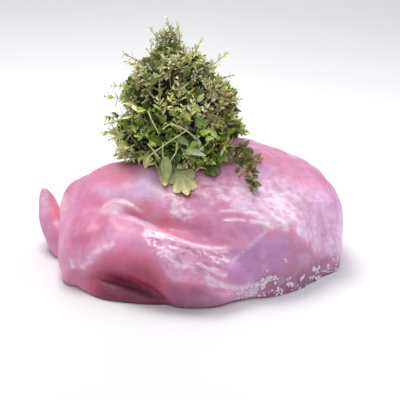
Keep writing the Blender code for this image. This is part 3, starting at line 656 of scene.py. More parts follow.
def add_tongue_and_crest(part):
    """Light on the tongue, on the crest of the fold and on the lip, and small spots above them."""
    u, v, front, fine = part["u"], part["v"], part["front"], part["fine"]
    # frothy spots above the crease: partly froth, partly painted highlights
    part["froth_and_highlight"] = front * spot(u, v, (-15, 28), (11, 7), -38, 0.6) * np.clip(0.6 + 0.9 * fine, 0, 1)
    part["red_spot"] = front * spot(u, v, (-8, 37.5), (8, 2.4), -8, 0.6)
    # painted highlights along the tongue's rim, at its end and on its top
    tongue_rim = streak(u, v, TONGUE, 1.5) * (1 - ramp(u, -58, -48))
    tongue_end = 0.6 * spot(u, v, (-48, 29), (8, 3), -20)
    tongue_top = spot(u, v, (-63, 25.5), (8, 3.5), 14, 0.7)
    part["tongue"] = front * np.maximum.reduce([tongue_rim, tongue_end, tongue_top])
    # painted highlights: a broad soft one and a narrow bright one along the fold's crest
    part["crest_broad_highlight"] = front * streak(u, v, CREST_BROAD_HIGHLIGHT, 7.0)
    part["crest"] = front * streak(u, v, CREST_LIGHT, 2.3 + 0.8 * fine) * np.clip(0.8 + 0.7 * fine, 0.1, 1)
    part["arc"] = front * streak(u, v, SILVER_ARC, 1.3) * np.clip(0.85 + 0.5 * fine, 0.4, 1)
    # bright line along the lip: the membrane's edge, partly painted highlight
    part["lip"] = part["lip"] * bell(part["above"] + 1.4, 1.3)
    # painted highlights: short bright lines
    part["gleams"] = front * np.maximum.reduce([streak(u, v, *gleam) for gleam in GLEAMS])


def add_left_end(p, part):
    """The painted shadow line under the fold, and the flap and the ridge at the left end, with painted
    shade in the gap between them and beside the ridge.
    """
    u, v = part["u"], part["v"]
    # painted shadow line under the fold
    part["shadow"] = part["front"] * streak(u, v, DARK_LINE, 2.8) * ramp(u, -68, -52)
    end = ramp(-u, 84, 90) * (1 - ramp(p[:, 1], -8, 4))
    between = np.maximum(roll_field(p, FLAP), roll_field(p, RIDGE))
    # painted shade in the gap between the flap and the ridge
    part["gap"] = end * (1 - ramp(between, 1.0, 4.5))
    # painted shade in the groove beside the ridge
    part["ridge_line"] = end * streak(u, v, RIDGE_LINE, 2.0)
    for name, place in END_PATCHES.items():
        part[name] = end * spot(u, v, *place)


def add_membrane(part):
    """The pale membrane on the right, and left of it the frothy streaks, partly painted highlights, and
    the painted glints of the wet patch.
    """
    u, v, front, fine, sinew = (part[name] for name in ("u", "v", "front", "fine", "sinew"))
    wobble = part["wobble"]
    rim = 14 + 0.3 * u - 0.008 * np.maximum(0, u - 30)**2
    thinned = 1 - 0.3 * spot(u, v, (84, 34), (16, 18))
    high = 1 - 0.8 * ramp(v - rim + 3 * wobble, 12, 34)
    cloudy = np.clip(0.85 + 0.4 * sinew + 0.25 * fine, 0.1, 1.2)
    reach = ramp(part["over_edge"], -1, 5) * ramp(u + 8 * wobble + 5 * sinew, 6, 30)
    part["membrane"] = front * reach * thinned * high * cloudy
    # brightest white of the membrane: partly the membrane, partly painted highlight
    part["sheet"] = part["membrane"] * spot(u, v, (53, 30), (24, 14), -24) * ramp(sinew, -0.3, 0.4)
    # pale streaks at the top: partly froth, partly painted highlights
    part["upper_froth_and_highlight"] = front * spot(u, v, (6, 42), (20, 8), -8) * np.clip(0.4 + 1.2 * sinew, 0, 1)
    # painted highlights: glints scattered over the wet patch, more of them towards its right edge
    dashed = ramp(part["dashes"] + 0.2 * fine, 0.1, 0.45)
    part["wet_glints"] = part["wet"] * dashed * (0.1 + 0.9 * ramp(part["past_fold"], -34, -6))
    part["foot_shade"] = part["foot_shade"] * (1 - 0.5 * ramp(u, 84, 100))


def add_back(p, part):
    """Pale membrane and red patches on the top, the back and the sides."""
    other = ramp(p[:, 1], -22, 10) * ramp(p[:, 2], 4, 14)
    grain = noise_on(p * np.array((0.35, 0.8, 1.0)), 7.0, 15, 4)
    part["back_sheet"] = other * ramp(grain + 0.3 * part["fine"] + 0.5 * waves(p, 70, 31), 0.0, 0.8)
    part["back_red"] = other * ramp(waves(p, 64, 37), 0.0, 1.0) * (1 - part["back_sheet"])
    part["top_rose"] = spot(part["u"], part["v"], (-60, 51), (16, 9), 10) * (1 - ramp(p[:, 1], -6, 14))


def regions(p):
    """Soft masks of what the front shows, and of the same kinds of patches elsewhere."""
    part = measures(p)
    for name, steps in STEPPED.items():
        part[name] = part["front"]
        for measure, zero, one in steps:
            part[name] = part[name] * ramp(part[measure], zero, one)
    for name, place in PATCHES.items():
        part[name] = part["front"] * spot(part["u"], part["v"], *place)
    add_tongue_and_crest(part)
    add_left_end(p, part)
    add_membrane(part)
    add_back(p, part)
    return part


# what stands out of the field or is sunk into it, in mm
RAISED = {
    "wet_glints": 0.35, "membrane": 0.15, "upper_froth_and_highlight": 0.3, "gleams": 0.4, "arc": 0.35,
    "ridge": 0.3, "crest": 0.5, "shadow": -0.5, "ridge_line": -0.5,
}
# what makes the meat wet, and what makes it dry
SHINY = {
    "wet": 1.0, "froth_and_highlight": 1.0, "gleams": 1.0, "lip": 1.0, "membrane": 0.5,
    "back_sheet": 0.4, "crest": 0.7, "tongue": 0.3,
}
DRY = {"under": 0.7, "hollow": 1.0, "shadow": 1.0, "face": 0.5}


def weighed(part, weights):
    """Sum of regions, each times its weight."""
    return sum(weight * part[name] for name, weight in weights.items())


def fine_relief(p, part):
    """Low relief that the breast has over its field, in mm outward."""
    u, v = part["u"], part["v"]
    along, over = u * 0.9 - v * 0.42, v * 0.9 + u * 0.42
    bend = noise_on(p, 12.0, 7, 2) * 2.5
    wrinkle = noise_on(np.stack((along * 0.4, over + bend, p[:, 1] * 0.3), 1), 5.5, 8)
    fibres = noise_on(np.stack((u * 5.0, v * 0.7, p[:, 1] * 0.7), 1), 14.0, 9, 2)
    crumple = 1.0 - 2.0 * np.abs(noise_on(p, 5.0, 10, 2))
    out = weighed(part, RAISED)
    out += 0.9 * part["wet"] * (1.0 - 2.4 * np.abs(wrinkle))
    out += 0.2 * part["face"] * fibres + 0.3 * part["membrane"] * part["sinew"]
    out += (0.55 * part["froth_and_highlight"] + 0.4 * part["flap_grey"] + 0.25 * part["back_sheet"]) * crumple
    above = part["above"]
    out += part["crease_reach"] * (0.7 * bell(above + 1.4, 1.2) - 0.8 * bell(above - 1.2, 1.3))
    gap = v - height_on(HEM, u)
    out += part["hem_reach"] * (0.7 * bell(gap - 2.4, 1.6) - 1.2 * bell(gap, 1.2))
    out += 0.16 * waves(p, 11, 51) + 0.3 * waves(p, 19, 52)
    return out * ramp(p[:, 2], 0.5, 4)


# what is painted over the pink, in order: region, colour, strength, how much fine noise breaks it up
COATS = (
    ("rose", ROSE, 0.8, 0), ("left_rose", LEFT_ROSE, 0.85, 0.1), ("pale_patch", PALE, 0.5, 0.1),
    # the broad painted highlight along the fold's crest
    ("back_red", RED_BAND, 0.45, 0.3), ("back_sheet", PALE, 0.5, 0.4), ("crest_broad_highlight", HIGHLIGHT_PINK, 0.45, 0),
    # the band above the crease: redder, and painted shade
    ("band", RED_BAND, 0.8, 0.3), ("mauve", MAUVE, 0.55, 0.2), ("red_hollow", RED_HOLLOW, 0.65, 0.2),
    # the fold's face: redder meat and painted shade
    ("face", FACE, 0.95, 0.1), ("face_deep_shade", FACE_DEEP_SHADE, 0.9, 0.1), ("face_low_shaded", FACE_LOW_SHADED, 0.75, 0.2),
    ("low_pale", PALE, 0.2, 0.3), ("under_red", UNDER_RED, 0.45, 0.5), ("violet", VIOLET, 0.85, 0.1),
    ("rim_mauve", RIM_MAUVE, 0.6, 0.2), ("corner", CORNER, 0.7, 0.3), ("membrane", PALE, 0.85, 0.2),
    # lilac silverskin with its painted sheen
    ("foot_shade", FOOT_SHADE, 0.75, 0.2), ("right_rose", ROSE, 0.5, 0.2), ("lilac", LILAC, 0.8, 0.1),
    ("top_rose", TOP_ROSE, 0.75, 0.3), ("cream", CREAM, 0.55, 0.3), ("wet_dark", WET_DARK, 0.6, 0.2),
    # painted glints on the wet patch; frothy spots with painted highlights
    ("wet", WET, 0.25, 0.6), ("wet_glints", PALE, 0.85, 0.3), ("froth_and_highlight", FROTH_AND_HIGHLIGHT_WHITE, 0.8, 0.5),
    # frothy streaks with painted highlights; painted highlight along the ridge
    ("upper_froth_and_highlight", FROTH_AND_HIGHLIGHT_WHITE, 0.6, 0.4), ("red_spot", RED_SPOT, 0.85, 0.2), ("ridge", HIGHLIGHT_PINK, 0.3, 0),
    ("flap_pale", PALE, 0.45, 0.3), ("flap_grey", VIOLET, 0.35, 0.4), ("flap_red", RED_HOLLOW, 0.7, 0.2),
    # painted highlight on the ridge's edge; painted shade beside the ridge and in the gap by the flap
    ("ridge_peach_highlight", PEACH_HIGHLIGHT, 0.8, 0.3), ("ridge_line", RED_BAND, 0.6, 0.2), ("gap", RED_SPOT, 0.8, 0.1),
    # painted highlights on the tongue and on the fold's crest
    ("tongue", FROTH_AND_HIGHLIGHT_WHITE, 0.62, 0.1), ("crest", CREST_HIGHLIGHT_PINK, 1.0, 0.1), ("arc", PALE, 0.45, 0),
    # painted highlights on the lip and in short bright lines
    ("lip", FROTH_AND_HIGHLIGHT_WHITE, 0.9, 0.5), ("gleams", FROTH_AND_HIGHLIGHT_WHITE, 0.8, 0.2), ("lilac_clouds", LILAC, 0.3, 0),
    # brightest membrane, partly painted highlight; the layer under the fold, partly painted shade
    ("red_clouds", RED_BAND, 0.28, 0), ("sheet", FROTH_AND_HIGHLIGHT_WHITE, 0.75, 0.3), ("under", UNDER_BROWN_SHADE, 0.9, 0.3),
    # painted shade in the hollow, and the painted shadow line
    ("hollow", HOLLOW_SHADE, 0.9, 0.1), ("shadow", HOLLOW_SHADE, 0.95, 0),
)


def breast_colour(p, part):
    """Colour of the meat at each place."""
    fine = part["fine"]
    patches = noise_on(p, 26.0, 12)
    colour = PINK + (ROSE - PINK) * ramp(patches, -0.5, 0.5)[:, None]
    # painted shade: faces that look up are darker, against the strong top light
    colour = colour * (1 - 0.24 * ramp(part["upward"], 0.45, 0.95))[:, None]
    clouds = noise_on(p, 13.0, 13)
    dark = np.clip(part["face"] + part["hollow"] + part["under"] + part["shadow"], 0, 1)
    part["lilac_clouds"] = ramp(clouds, 0.1, 0.8) * (1 - dark)
    part["red_clouds"] = ramp(-clouds, 0.1, 0.8)
    for name, target, strength, broken in COATS:
        weight = np.clip(strength * part[name] * (1 + broken * fine), 0, 1)
        colour = colour + (target - colour) * weight[:, None]
    return colour * (1 + 0.06 * fine)[:, None]


def build_breast():
    """The breast as a fine mesh over its field, with its colour, its shine and its muscle fibres."""
    cell = BREAST_CELL * MM
    points, quads = surface_nets(breast_field, *np.array(BREAST_BOX) * MM, cell)
    breast = add_object("breast", settle(breast_field, points, 0.0, 2, 0.5 * cell), quads)
    subdivide(breast)
    points = settle(breast_field, points_of(breast), 0.0, 2, 0.5 * cell)
    out = unit(slope(breast_field, points))
    part = regions(points / MM)
    # how far each place faces up, for the painted shade on top
    part["upward"] = out[:, 2]
    points = points + out * fine_relief(points / MM, part)[:, None] * MM
    points[:, 2] = np.where(points[:, 2] < 0.3 * MM, 0.0, points[:, 2])
    move_points(breast, points)
    give_tint(breast, breast_colour(points / MM, part))
    shine = np.clip(0.2 + weighed(part, SHINY), 0, 1)
    dry = np.clip(weighed(part, DRY), 0, 1)
    give(breast, "shine", "FLOAT", shine * (1 - 0.85 * dry))
    u, v = part["u"], part["v"]
    lean = np.maximum(part["face"], part["front"] * (1 - ramp(u, -68, -48)))
    across = np.stack((u * (0.25 + 0.75 * lean), v * (1 - 0.8 * lean), points[:, 1] / MM * 0.3), 1)
    give(breast, "fibre", "FLOAT_VECTOR", across * MM)
    return breast


# ---- leaves and stems ----
def leaf_blank(rows, half, outline):
    """Flat leaf from 0 to 1 along x: its points (x, y, side) and faces, with one shared rim."""
    index, places = {}, []

    def corner(i, j, side):
        if i in (0, rows):
            key = (i, 0, 0)
        elif abs(j) == half:
            key = (i, j, 0)
        else:
            key = (i, j, side)
        if key not in index:
            index[key] = len(places)
            x = 0.5 - 0.5 * math.cos(math.pi * i / rows)
            places.append((x, 0.5 * key[1] / half * outline(x), key[2]))
        return index[key]

    faces = []
    for side in (1, -1):
        for i in range(rows):
            for j in range(-half, half):
                ring = [corner(i, j, side), corner(i + 1, j, side),
                        corner(i + 1, j + 1, side), corner(i, j + 1, side)]
                ring = list(dict.fromkeys(ring))
                if side < 0:
                    ring.reverse()
                if len(ring) > 2:
                    faces.append(tuple(ring))
    return np.array(places), faces


FLAT_MIDDLE = 0.42      # where the middle of a flat leaf is, from its stalk (0) to its tip (1)
FLAT_RIM_POINTS = 114
FLAT_TEETH = 0.02


def lobed_blank(lobes):
    """Flat leaf from 0 to 1 along x, drawn round its middle: a rim of round lobes."""
    count = FLAT_RIM_POINTS
    angle = 2.0 * math.pi * np.arange(count) / count
    reach = np.full(count, 0.16)
    for direction, distance, radius in lobes:
        away = angle - math.radians(direction)
        room = radius**2 - (distance * np.sin(away))**2
        far = distance * np.cos(away) + np.sqrt(np.maximum(room, 0.0))
        reach = np.where((room > 0) & (np.cos(away) > 0), np.maximum(reach, far), reach)
    reach = reach * (1 + FLAT_TEETH * np.cos(angle * 19))

    def ring(share, side):
        far = share * reach
        return np.stack((FLAT_MIDDLE + far * np.cos(angle), far * np.sin(angle), side + 0 * angle), 1)

    places, faces = list(ring(1.0, 0)), []
    for side in (1, -1):
        start = len(places)
        centre = start + count
        places.extend(ring(0.55, side))
        places.append(np.array((FLAT_MIDDLE, 0.0, side)))
        for i in range(count):
            j = (i + 1) % count
            outer = (i, j, start + j, start + i)
            fan = (start + i, start + j, centre)
            faces.append(outer if side > 0 else outer[::-1])
            faces.append(fan if side > 0 else fan[::-1])
    return np.array(places), faces


def place_leaves(blank, leaves, thickness=0.3):
    """Points, faces and colours of many leaves cut from one blank."""
    flat, faces = blank
    base, along, face, length, width, fold, curl, tint = (np.array(column) for column in zip(*leaves))
    length, width, fold, curl = (column[:, None] for column in (length, width, fold, curl))
    along = unit(along)
    side = unit(np.cross(face, along))
    up = np.cross(along, side)
    x, y, layer = flat[:, 0], flat[:, 1], flat[:, 2]
    height = fold * np.abs(y) * width + curl * length * (x * x - 0.35 * x) + 0.5 * thickness * layer
    height = height + 0.05 * width * np.sin(9.0 * x + 5.0 * length) * np.abs(y)
    points = base[:, None] + (x * length)[..., None] * along[:, None] \
        + (y * width)[..., None] * side[:, None] + height[..., None] * up[:, None]
    vein = 1.0 + 0.28 * bell(y, 0.09) - 0.12 * bell(np.abs(y) - 0.2, 0.1)
    pale = np.where(layer < 0, 1.25, 1.0)
    colours = tint[:, None] * (vein * pale * (0.85 + 0.3 * x))[None, :, None]
    count = len(flat)
    all_faces = [tuple(i + k * count for i in ring) for k in range(len(leaves)) for ring in faces]
    return points.reshape(-1, 3), all_faces, colours.reshape(-1, 3)


STEM_SIDES = 6


def tube(points, radius, end_radius):
    """Round stem along points, closed at both ends."""
    points = np.array(points, float)
    count = len(points)
    ring, faces = [], []
    normal = unit(np.cross(points[-1] - points[0], (0.3, 0.5, 0.8)))
    for i, point in enumerate(points):
        ahead = unit(points[min(i + 1, count - 1)] - points[max(i - 1, 0)])
        normal = unit(normal - ahead * (normal @ ahead))
        side = np.cross(ahead, normal)
        r = radius + (end_radius - radius) * i / (count - 1)
        for k in range(STEM_SIDES):
            angle = 2.0 * math.pi * k / STEM_SIDES
            ring.append(point + r * (math.cos(angle) * normal + math.sin(angle) * side))
    for i in range(count - 1):
        for k in range(STEM_SIDES):
            a, b = STEM_SIDES * i + k, STEM_SIDES * i + (k + 1) % STEM_SIDES
            faces.append((a, b, b + STEM_SIDES, a + STEM_SIDES))
    faces.append(tuple(range(STEM_SIDES))[::-1])
    faces.append(tuple(range(STEM_SIDES * (count - 1), STEM_SIDES * count)))
    return np.array(ring), faces


Leaf = collections.namedtuple("Leaf", "base along face length width fold curl tint")


class Heap:
    """Meshes of one kind that end up in one object."""

    def __init__(self):
        self.points, self.faces, self.colours, self.count = [], [], [], 0

    def add(self, points, faces, colours):
        self.points.append(points)
        self.faces.extend(tuple(i + self.count for i in ring) for ring in faces)
        self.colours.append(np.broadcast_to(colours, points.shape))
        self.count += len(points)

    def build(self, name):
        thing = add_object(name, np.vstack(self.points) * MM, self.faces)
        thing.data.set_sharp_from_angle(angle=math.radians(50))
        give_tint(thing, np.vstack(self.colours))
        return thing


def thyme_outline(x):
    return math.sin(math.pi * x**0.9)**0.75


def oval_outline(x):
    return math.sin(math.pi * x**0.78)**0.8 * (1 + 0.06 * math.cos(31 * x))


def arc(foot, tip, lift, count):
    """Points on a bow from foot to tip that rises by lift in its middle."""
    foot, tip = np.array(foot, float), np.array(tip, float)
    t = np.linspace(0.0, 1.0, count)[:, None]
    return foot + (tip - foot) * t + np.array((0, 0, lift)) * 4 * t * (1 - t)


def outside_part(line, depth):
    """The end of a stem from where it is this far inside the solid's core."""
    values = core_field(line * MM) / MM
    inside = np.nonzero(values < -depth)[0]
    first = inside[-1] if len(inside) else 0
    return line[min(first, len(line) - 4):]


def leaf_pairs(line, rng, lean, spacing, lengths, start=0.5):
    """Leaves in crossed pairs along a stem, smaller towards the tip: (base, along, face, length)."""
    steps = np.linalg.norm(np.diff(line, axis=0), axis=1)
    travelled = np.concatenate(((0.0,), np.cumsum(steps)))
    total = travelled[-1]
    turn = rng.uniform(0.0, math.pi)
    place = total
    out = []
    while place > start:
        point = np.array([np.interp(place, travelled, line[:, k]) for k in range(3)])
        behind = np.array([np.interp(place - 3.0, travelled, line[:, k]) for k in range(3)])
        ahead = unit(point - behind)
        side = unit(np.cross(ahead, (0.36, 0.48, 0.8)))
        other = np.cross(ahead, side)
        young = 0.5 + 0.5 * min(1.0, (total - place) / (2.5 * spacing))
        for half in (0.0, math.pi):
            angle = turn + half + rng.uniform(-0.3, 0.3)
            outward = math.cos(angle) * side + math.sin(angle) * other
            opened = lean * (0.55 + 0.45 * young)
            along = unit(outward * opened + ahead * (1 - opened) + rng.normal(size=3) * 0.1)
            out.append((point, along, ahead, young * rng.uniform(*lengths)))
        turn += math.pi / 2
        place -= spacing * rng.uniform(0.8, 1.2) * (0.6 + 0.4 * young)
    return out


def clear(points):
    """True for each place that is above the breast and away from the thyme sprig."""
    above_meat = breast_field(points * MM) > LEAF_CLEARANCE * MM
    return above_meat & (roll_field(points, THYME_KEEP_OUT) > SPRIG_CLEARANCE)


def even_rays(count, seed):
    """Directions spread evenly by a spiral, from straight up to somewhat below level."""
    high = 1.0 - (1.0 - LOWEST_RAY) * (np.arange(count) + 0.5) / count
    angle = np.arange(count) * math.radians(137.5) + seed
    girth = np.sqrt(1.0 - high**2)
    return np.stack((np.cos(angle) * girth, np.sin(angle) * girth, high), 1)


def on_core(count, seed, level, rng):
    """Places spread over the bunch at a level of its core's field, with the way out there."""
    rays = even_rays(count, seed)
    seeds = CORE_MIDDLE + rays * np.array(CORE_REACH) + rng.normal(size=(count, 3)) * 2.5
    places = settle(core_field, seeds * MM, level * MM, 8)
    return places / MM, unit(slope(core_field, places))


MIDDLE_FROM, TOP_FROM = 96, 128     # heights where the greens change
# spots of the bunch, seen from the front, where the leaves get painted light: how much, middle, reach
PAINTED_LIGHT_SPOTS = ((0.55, (-15, 119), (16, 10)), (0.7, (-27, 94), (12, 7)))
WILTED_SPOT = (16, 121), (11, 8)
WILTED_SHARE = 0.7
TOP_SILVER = np.array((0.0, -0.06, 0.35))


def near_spot(place, middle, reach):
    """1 at a spot of the bunch seen from the front, falling to 0 round it."""
    return bell(place[0] - middle[0], reach[0]) * bell(place[2] - middle[1], reach[1])


def leaf_tint(rng, place):
    """A leaf's colour: one of the greens of its height, in patches, with its own brightness and with
    painted light and shade.
    """
    x, _, z = place
    patch = math.sin(x / 9.0 + 1.3) + math.sin(z / 8.0 + x / 23.0)
    pick = np.clip(0.5 + (patch + 1.4 * rng.normal()) / 4.8, 0.0, 0.999)
    height = z + 9.0 * rng.normal()
    kinds = FOOT_GREENS if height < MIDDLE_FROM else MIDDLE_GREENS if height < TOP_FROM else TOP_GREENS
    mixed = (37.7 * x + 91.3 * z) % 1.0
    if mixed < WILTED_SHARE * near_spot(place, *WILTED_SPOT):
        kinds = WILTED
    # painted light and shade: leaves higher up, low on the left and at the spots lighter, at the spire's
    # tip darker
    painted_light = 1.0 + 0.5 * ramp(z, 108, 132)
    painted_light += (1.0 - 1.15 * ramp(x, -8, 8)) * (1.0 - ramp(z, 86, 98))
    for more, middle, reach in PAINTED_LIGHT_SPOTS:
        painted_light += more * near_spot(place, middle, reach)
    painted_light *= 1.0 - 0.35 * ramp(z, 150, 166)
    silver = 1.0 + ramp(z, 128, 146) * TOP_SILVER
    tint = kinds[int(pick * len(kinds))] * silver * painted_light * rng.uniform(0.6, 1.35)
    return np.minimum(tint, LEAF_LIMIT)


def make_leaf(rng, base, along, face, length, wide):
    """A leaf with its own width, fold, curl and colour."""
    share = rng.uniform(0.48, 0.66) if wide else rng.uniform(0.34, 0.52)
    return Leaf(base, along, face, length, share * length, rng.uniform(0.05, 0.4),
                rng.uniform(-0.5, 0.3), leaf_tint(rng, base))


def shown(leaves):
    """The leaves that are clear of meat, thyme sprig and parsley leaflet, and not buried in the core."""
    base = np.array([leaf.base for leaf in leaves])
    span = np.array([leaf.along * leaf.length for leaf in leaves])
    keep = clear(base + span) & clear(base + 0.5 * span)
    keep &= core_field((base + span) * MM) > -CORE_SHRINK * MM
    keep &= (np.abs(base[:, 0] + 25) > 6) | (base[:, 1] > -34) | (base[:, 2] > 87)
    return [leaf for leaf, wanted in zip(leaves, keep) if wanted]


def outer_lines(rng):
    """Stems of the sprigs that stand out furthest, at the left side, and round the spire at the top."""
    lines = []
    for tip in OUTER_TIPS + SPIRE_TIPS + SIDE_TIPS:
        foot = np.array(BUNCH_FOOT, float)
        foot[2] += 0.45 * max(0.0, tip[2] - foot[2])
        lines.append(outside_part(arc(foot, tip, rng.uniform(3, 8), 26), 4.0))
    return lines


def fill_lines(rng):
    """Short stems all over the core, fanning out from the foot of the bunch, in tufts."""
    level = rng.uniform(-4.0, 2.0, FILL_SPRIGS)
    tips, outs = on_core(FILL_SPRIGS, 1.7, level, rng)
    tips = tips + outs * (3.2 * waves(tips, 15, 61))[:, None]
    fans = unit(tips - np.array(BUNCH_FOOT, float) + np.array((0, 0, 14.0)))
    ways = unit(outs * 0.5 + fans * 0.6 + rng.normal(size=tips.shape) * 0.4)
    reach = rng.uniform(14, 26, FILL_SPRIGS)
    feet = tips - ways * reach[:, None]
    return [arc(foot, tip, rng.uniform(-2, 4), 8) for foot, tip in zip(feet, tips)]


def skirt_lines(rng):
    """Short stems round the foot of the bunch that lie out over the meat."""
    angle = 2.0 * math.pi * (np.arange(SKIRT_SPRIGS) + rng.uniform(0, 1, SKIRT_SPRIGS)) / SKIRT_SPRIGS
    places = np.stack((-16 + 52 * np.cos(angle), 42 * np.sin(angle), 80 + 0 * angle), 1) * MM
    height = rng.uniform(2.5, 8.0, SKIRT_SPRIGS) * MM
    for _ in range(4):
        places = settle(core_field, places, 0.0, 2)
        places = settle(breast_field, places, height, 2)
    ups = unit(slope(breast_field, places))
    outs = slope(core_field, places)
    outs = unit(outs - ups * (outs * ups).sum(1, keepdims=True))
    outs = unit(outs + np.cross(ups, outs) * rng.normal(size=(SKIRT_SPRIGS, 1)) * 0.5)
    places = places / MM
    outward = outs * rng.uniform(-2, 5, (SKIRT_SPRIGS, 1))
    upward = ups * rng.uniform(-1, 2, (SKIRT_SPRIGS, 1))
    tips = places + outward + upward
    feet = places - outs * 13 + ups * 5
    return [arc(foot, tip, 1.5, 8) for foot, tip in zip(feet, tips)]


def add_sprigs(rng, small, broad, stems):
    """Leaves and stems of the sprigs all over the bunch."""
    # each stem with the share of broad-leaved ones among its kind, and its thickness
    lines = [(line, 0.0, 0.6) for line in outer_lines(rng)]
    lines += [(line, 0.3, 0.42) for line in fill_lines(rng) + skirt_lines(rng)]
    ends_clear = clear(np.array([line[-1] for line, _, _ in lines]))
    for (line, broad_share, thickness), end_clear in zip(lines, ends_clear):
        high = ramp(line[-1][2], 100, 140)
        wide = rng.uniform() < broad_share * (1 - 0.85 * high)
        lengths, spacing = ((9.0, 13.5), 7.5) if wide else ((5.8 - high, 9.2 - 1.6 * high), 3.8)
        for base, along, face, length in leaf_pairs(line, rng, LEAF_LEAN, spacing, lengths):
            (broad if wide else small).append(make_leaf(rng, base, along, face, length, wide))
        tint = STEM_RED if rng.uniform() < 0.4 else STEM_GREEN
        if end_clear:
            stems.add(*tube(line, thickness, 0.28), tint)


def mantle_leaves(rng):
    """Single leaves just over the core, which close gaps between the sprigs."""
    bases, outs = on_core(MANTLE_LEAVES, 4.1, MANTLE_LEVEL, rng)
    ways = unit(outs + np.array((0, 0, 0.35)) + rng.normal(size=outs.shape) * 0.6)
    leaves = []
    for base, out, way in zip(bases, outs, ways):
        face = unit(out + unit(np.cross(way, rng.normal(size=3))) * 0.8)
        high = ramp(base[2], 98, 130)
        length = rng.uniform(8, 13) - 4 * high
        leaves.append(make_leaf(rng, base - way * 2.0, way, face, length, high < 0.6))
    return leaves


def inner_leaves(rng):
    """Leaves deeper in, seen between the others, with darker greens as painted shade."""
    bases, outs = on_core(INNER_LEAVES, 2.3, INNER_LEVEL, rng)
    ways = unit(outs * 0.5 + rng.normal(size=outs.shape) * 0.7)
    leaves = []
    for base, out, way in zip(bases, outs, ways):
        way = unit(way + out * max(0.0, 0.3 - way @ out))
        leaf = make_leaf(rng, base, way, unit(out + 0.5 * rng.normal(size=3)), rng.uniform(7, 11), True)
        high = ramp(base[2], 108, 136)
        # painted shade: darker greens deeper in
        tint = LEAF_DEEP * (1 - high) + LEAF_OLIVE * 0.65 * high
        leaves.append(leaf._replace(tint=tint * rng.uniform(0.35, 1.05)))
    return leaves


def add_front_sprigs(small, stems):
    """Upright red sprigs at the front, with random numbers of their own."""
    rng = np.random.default_rng(29)
    for foot, tip in FRONT_SPRIGS:
        line = arc(foot, tip, 1.0, 12)
        for base, along, face, length in leaf_pairs(line, rng, LEAF_LEAN, 3.6, (4.6, 7.8)):
            small.append(make_leaf(rng, base, along, face, length, False))
        stems.add(*tube(line, 0.4, 0.28), STEM_RED)


def loose_leaf(base, tip, width, screen_colour):
    """One leaf at a place of its own."""
    base, way = np.array(base, float), np.array(tip, float) - base
    length = np.linalg.norm(way)
    return Leaf(base, way / length, LOOSE_FACE, length, width, 0.55, -0.2, linear(*screen_colour))


def build_bunch():
    """The dark core, the leaves of two kinds, the stems and the parsley leaves."""
    rng = np.random.default_rng(3)
    small, broad, stems = [], [], Heap()
    add_sprigs(rng, small, broad, stems)
    broad += mantle_leaves(rng)
    broad += inner_leaves(rng)
    add_front_sprigs(small, stems)
    for points in PETIOLES:
        stems.add(*tube(smooth_route(points, 6), 0.55, 0.4), STEM_PALE)
    for points in LOOSE_STEMS:
        stems.add(*tube(smooth_route(points, 5), 0.32, 0.22), 0.75 * STEM_RED)
    small, broad = shown(small), shown(broad)
    broad += [loose_leaf(*leaf) for leaf in LOOSE_LEAVES]
    small_heap, broad_heap = Heap(), Heap()
    small_heap.add(*place_leaves(leaf_blank(5, 1, thyme_outline), small))
    broad_heap.add(*place_leaves(leaf_blank(7, 2, oval_outline), broad, 0.35))
    core = surface_nets(inner_core_field, *np.array(CORE_BOX) * MM, CORE_CELL * MM)
    return [add_object("herb_core", *core), small_heap.build("herb_small_leaves"),
            broad_heap.build("herb_broad_leaves"), stems.build("herb_stems"),
            hanging_leaves().build("herb_parsley")]


# lobes of a flat leaf: direction, how far out their middle is, radius
LOBED = (
    (0, 0.46, 0.13), (0, 0.24, 0.14), (30, 0.42, 0.13), (28, 0.2, 0.14), (-30, 0.43, 0.12),
    (-28, 0.2, 0.14), (66, 0.3, 0.13), (-66, 0.3, 0.12), (180, 0.22, 0.1), (0, 0.0, 0.18),
)
LEAFLET = ((0, 0.36, 0.21), (0, 0.16, 0.34), (180, 0.16, 0.24), (46, 0.22, 0.22), (-46, 0.22, 0.22))
VEIN_DIRECTIONS = (0, 36, -36, 84, -84)
# parsley leaves over the front of the breast: stalk end, tip, width, lobes, colour
HANGING_LEAVES = (
    ((-21, -24, 82), (-9, -61, 65), 26, LOBED, PARSLEY),
    ((-27, -17, 84), (-25.5, -52.5, 67.5), 15, LEAFLET, PARSLEY),
    # this leaf lies in shade: the parsley green with painted shade
    ((4, -22, 83), (9, -46, 75), 18.5, LOBED, PARSLEY_SHADED),
)
PARSLEY_LIFT = 2.0


def vein_marks(x, y):
    """1 on the veins that fan out from a flat leaf's middle."""
    marks = np.zeros(len(x))
    for direction in VEIN_DIRECTIONS:
        c, s = math.cos(math.radians(direction)), math.sin(math.radians(direction))
        away = np.abs(-(x - FLAT_MIDDLE) * s + y * c)
        ahead_of = (x - FLAT_MIDDLE) * c + y * s > -0.02
        marks = np.maximum(marks, ahead_of * bell(away, 0.03))
    return marks


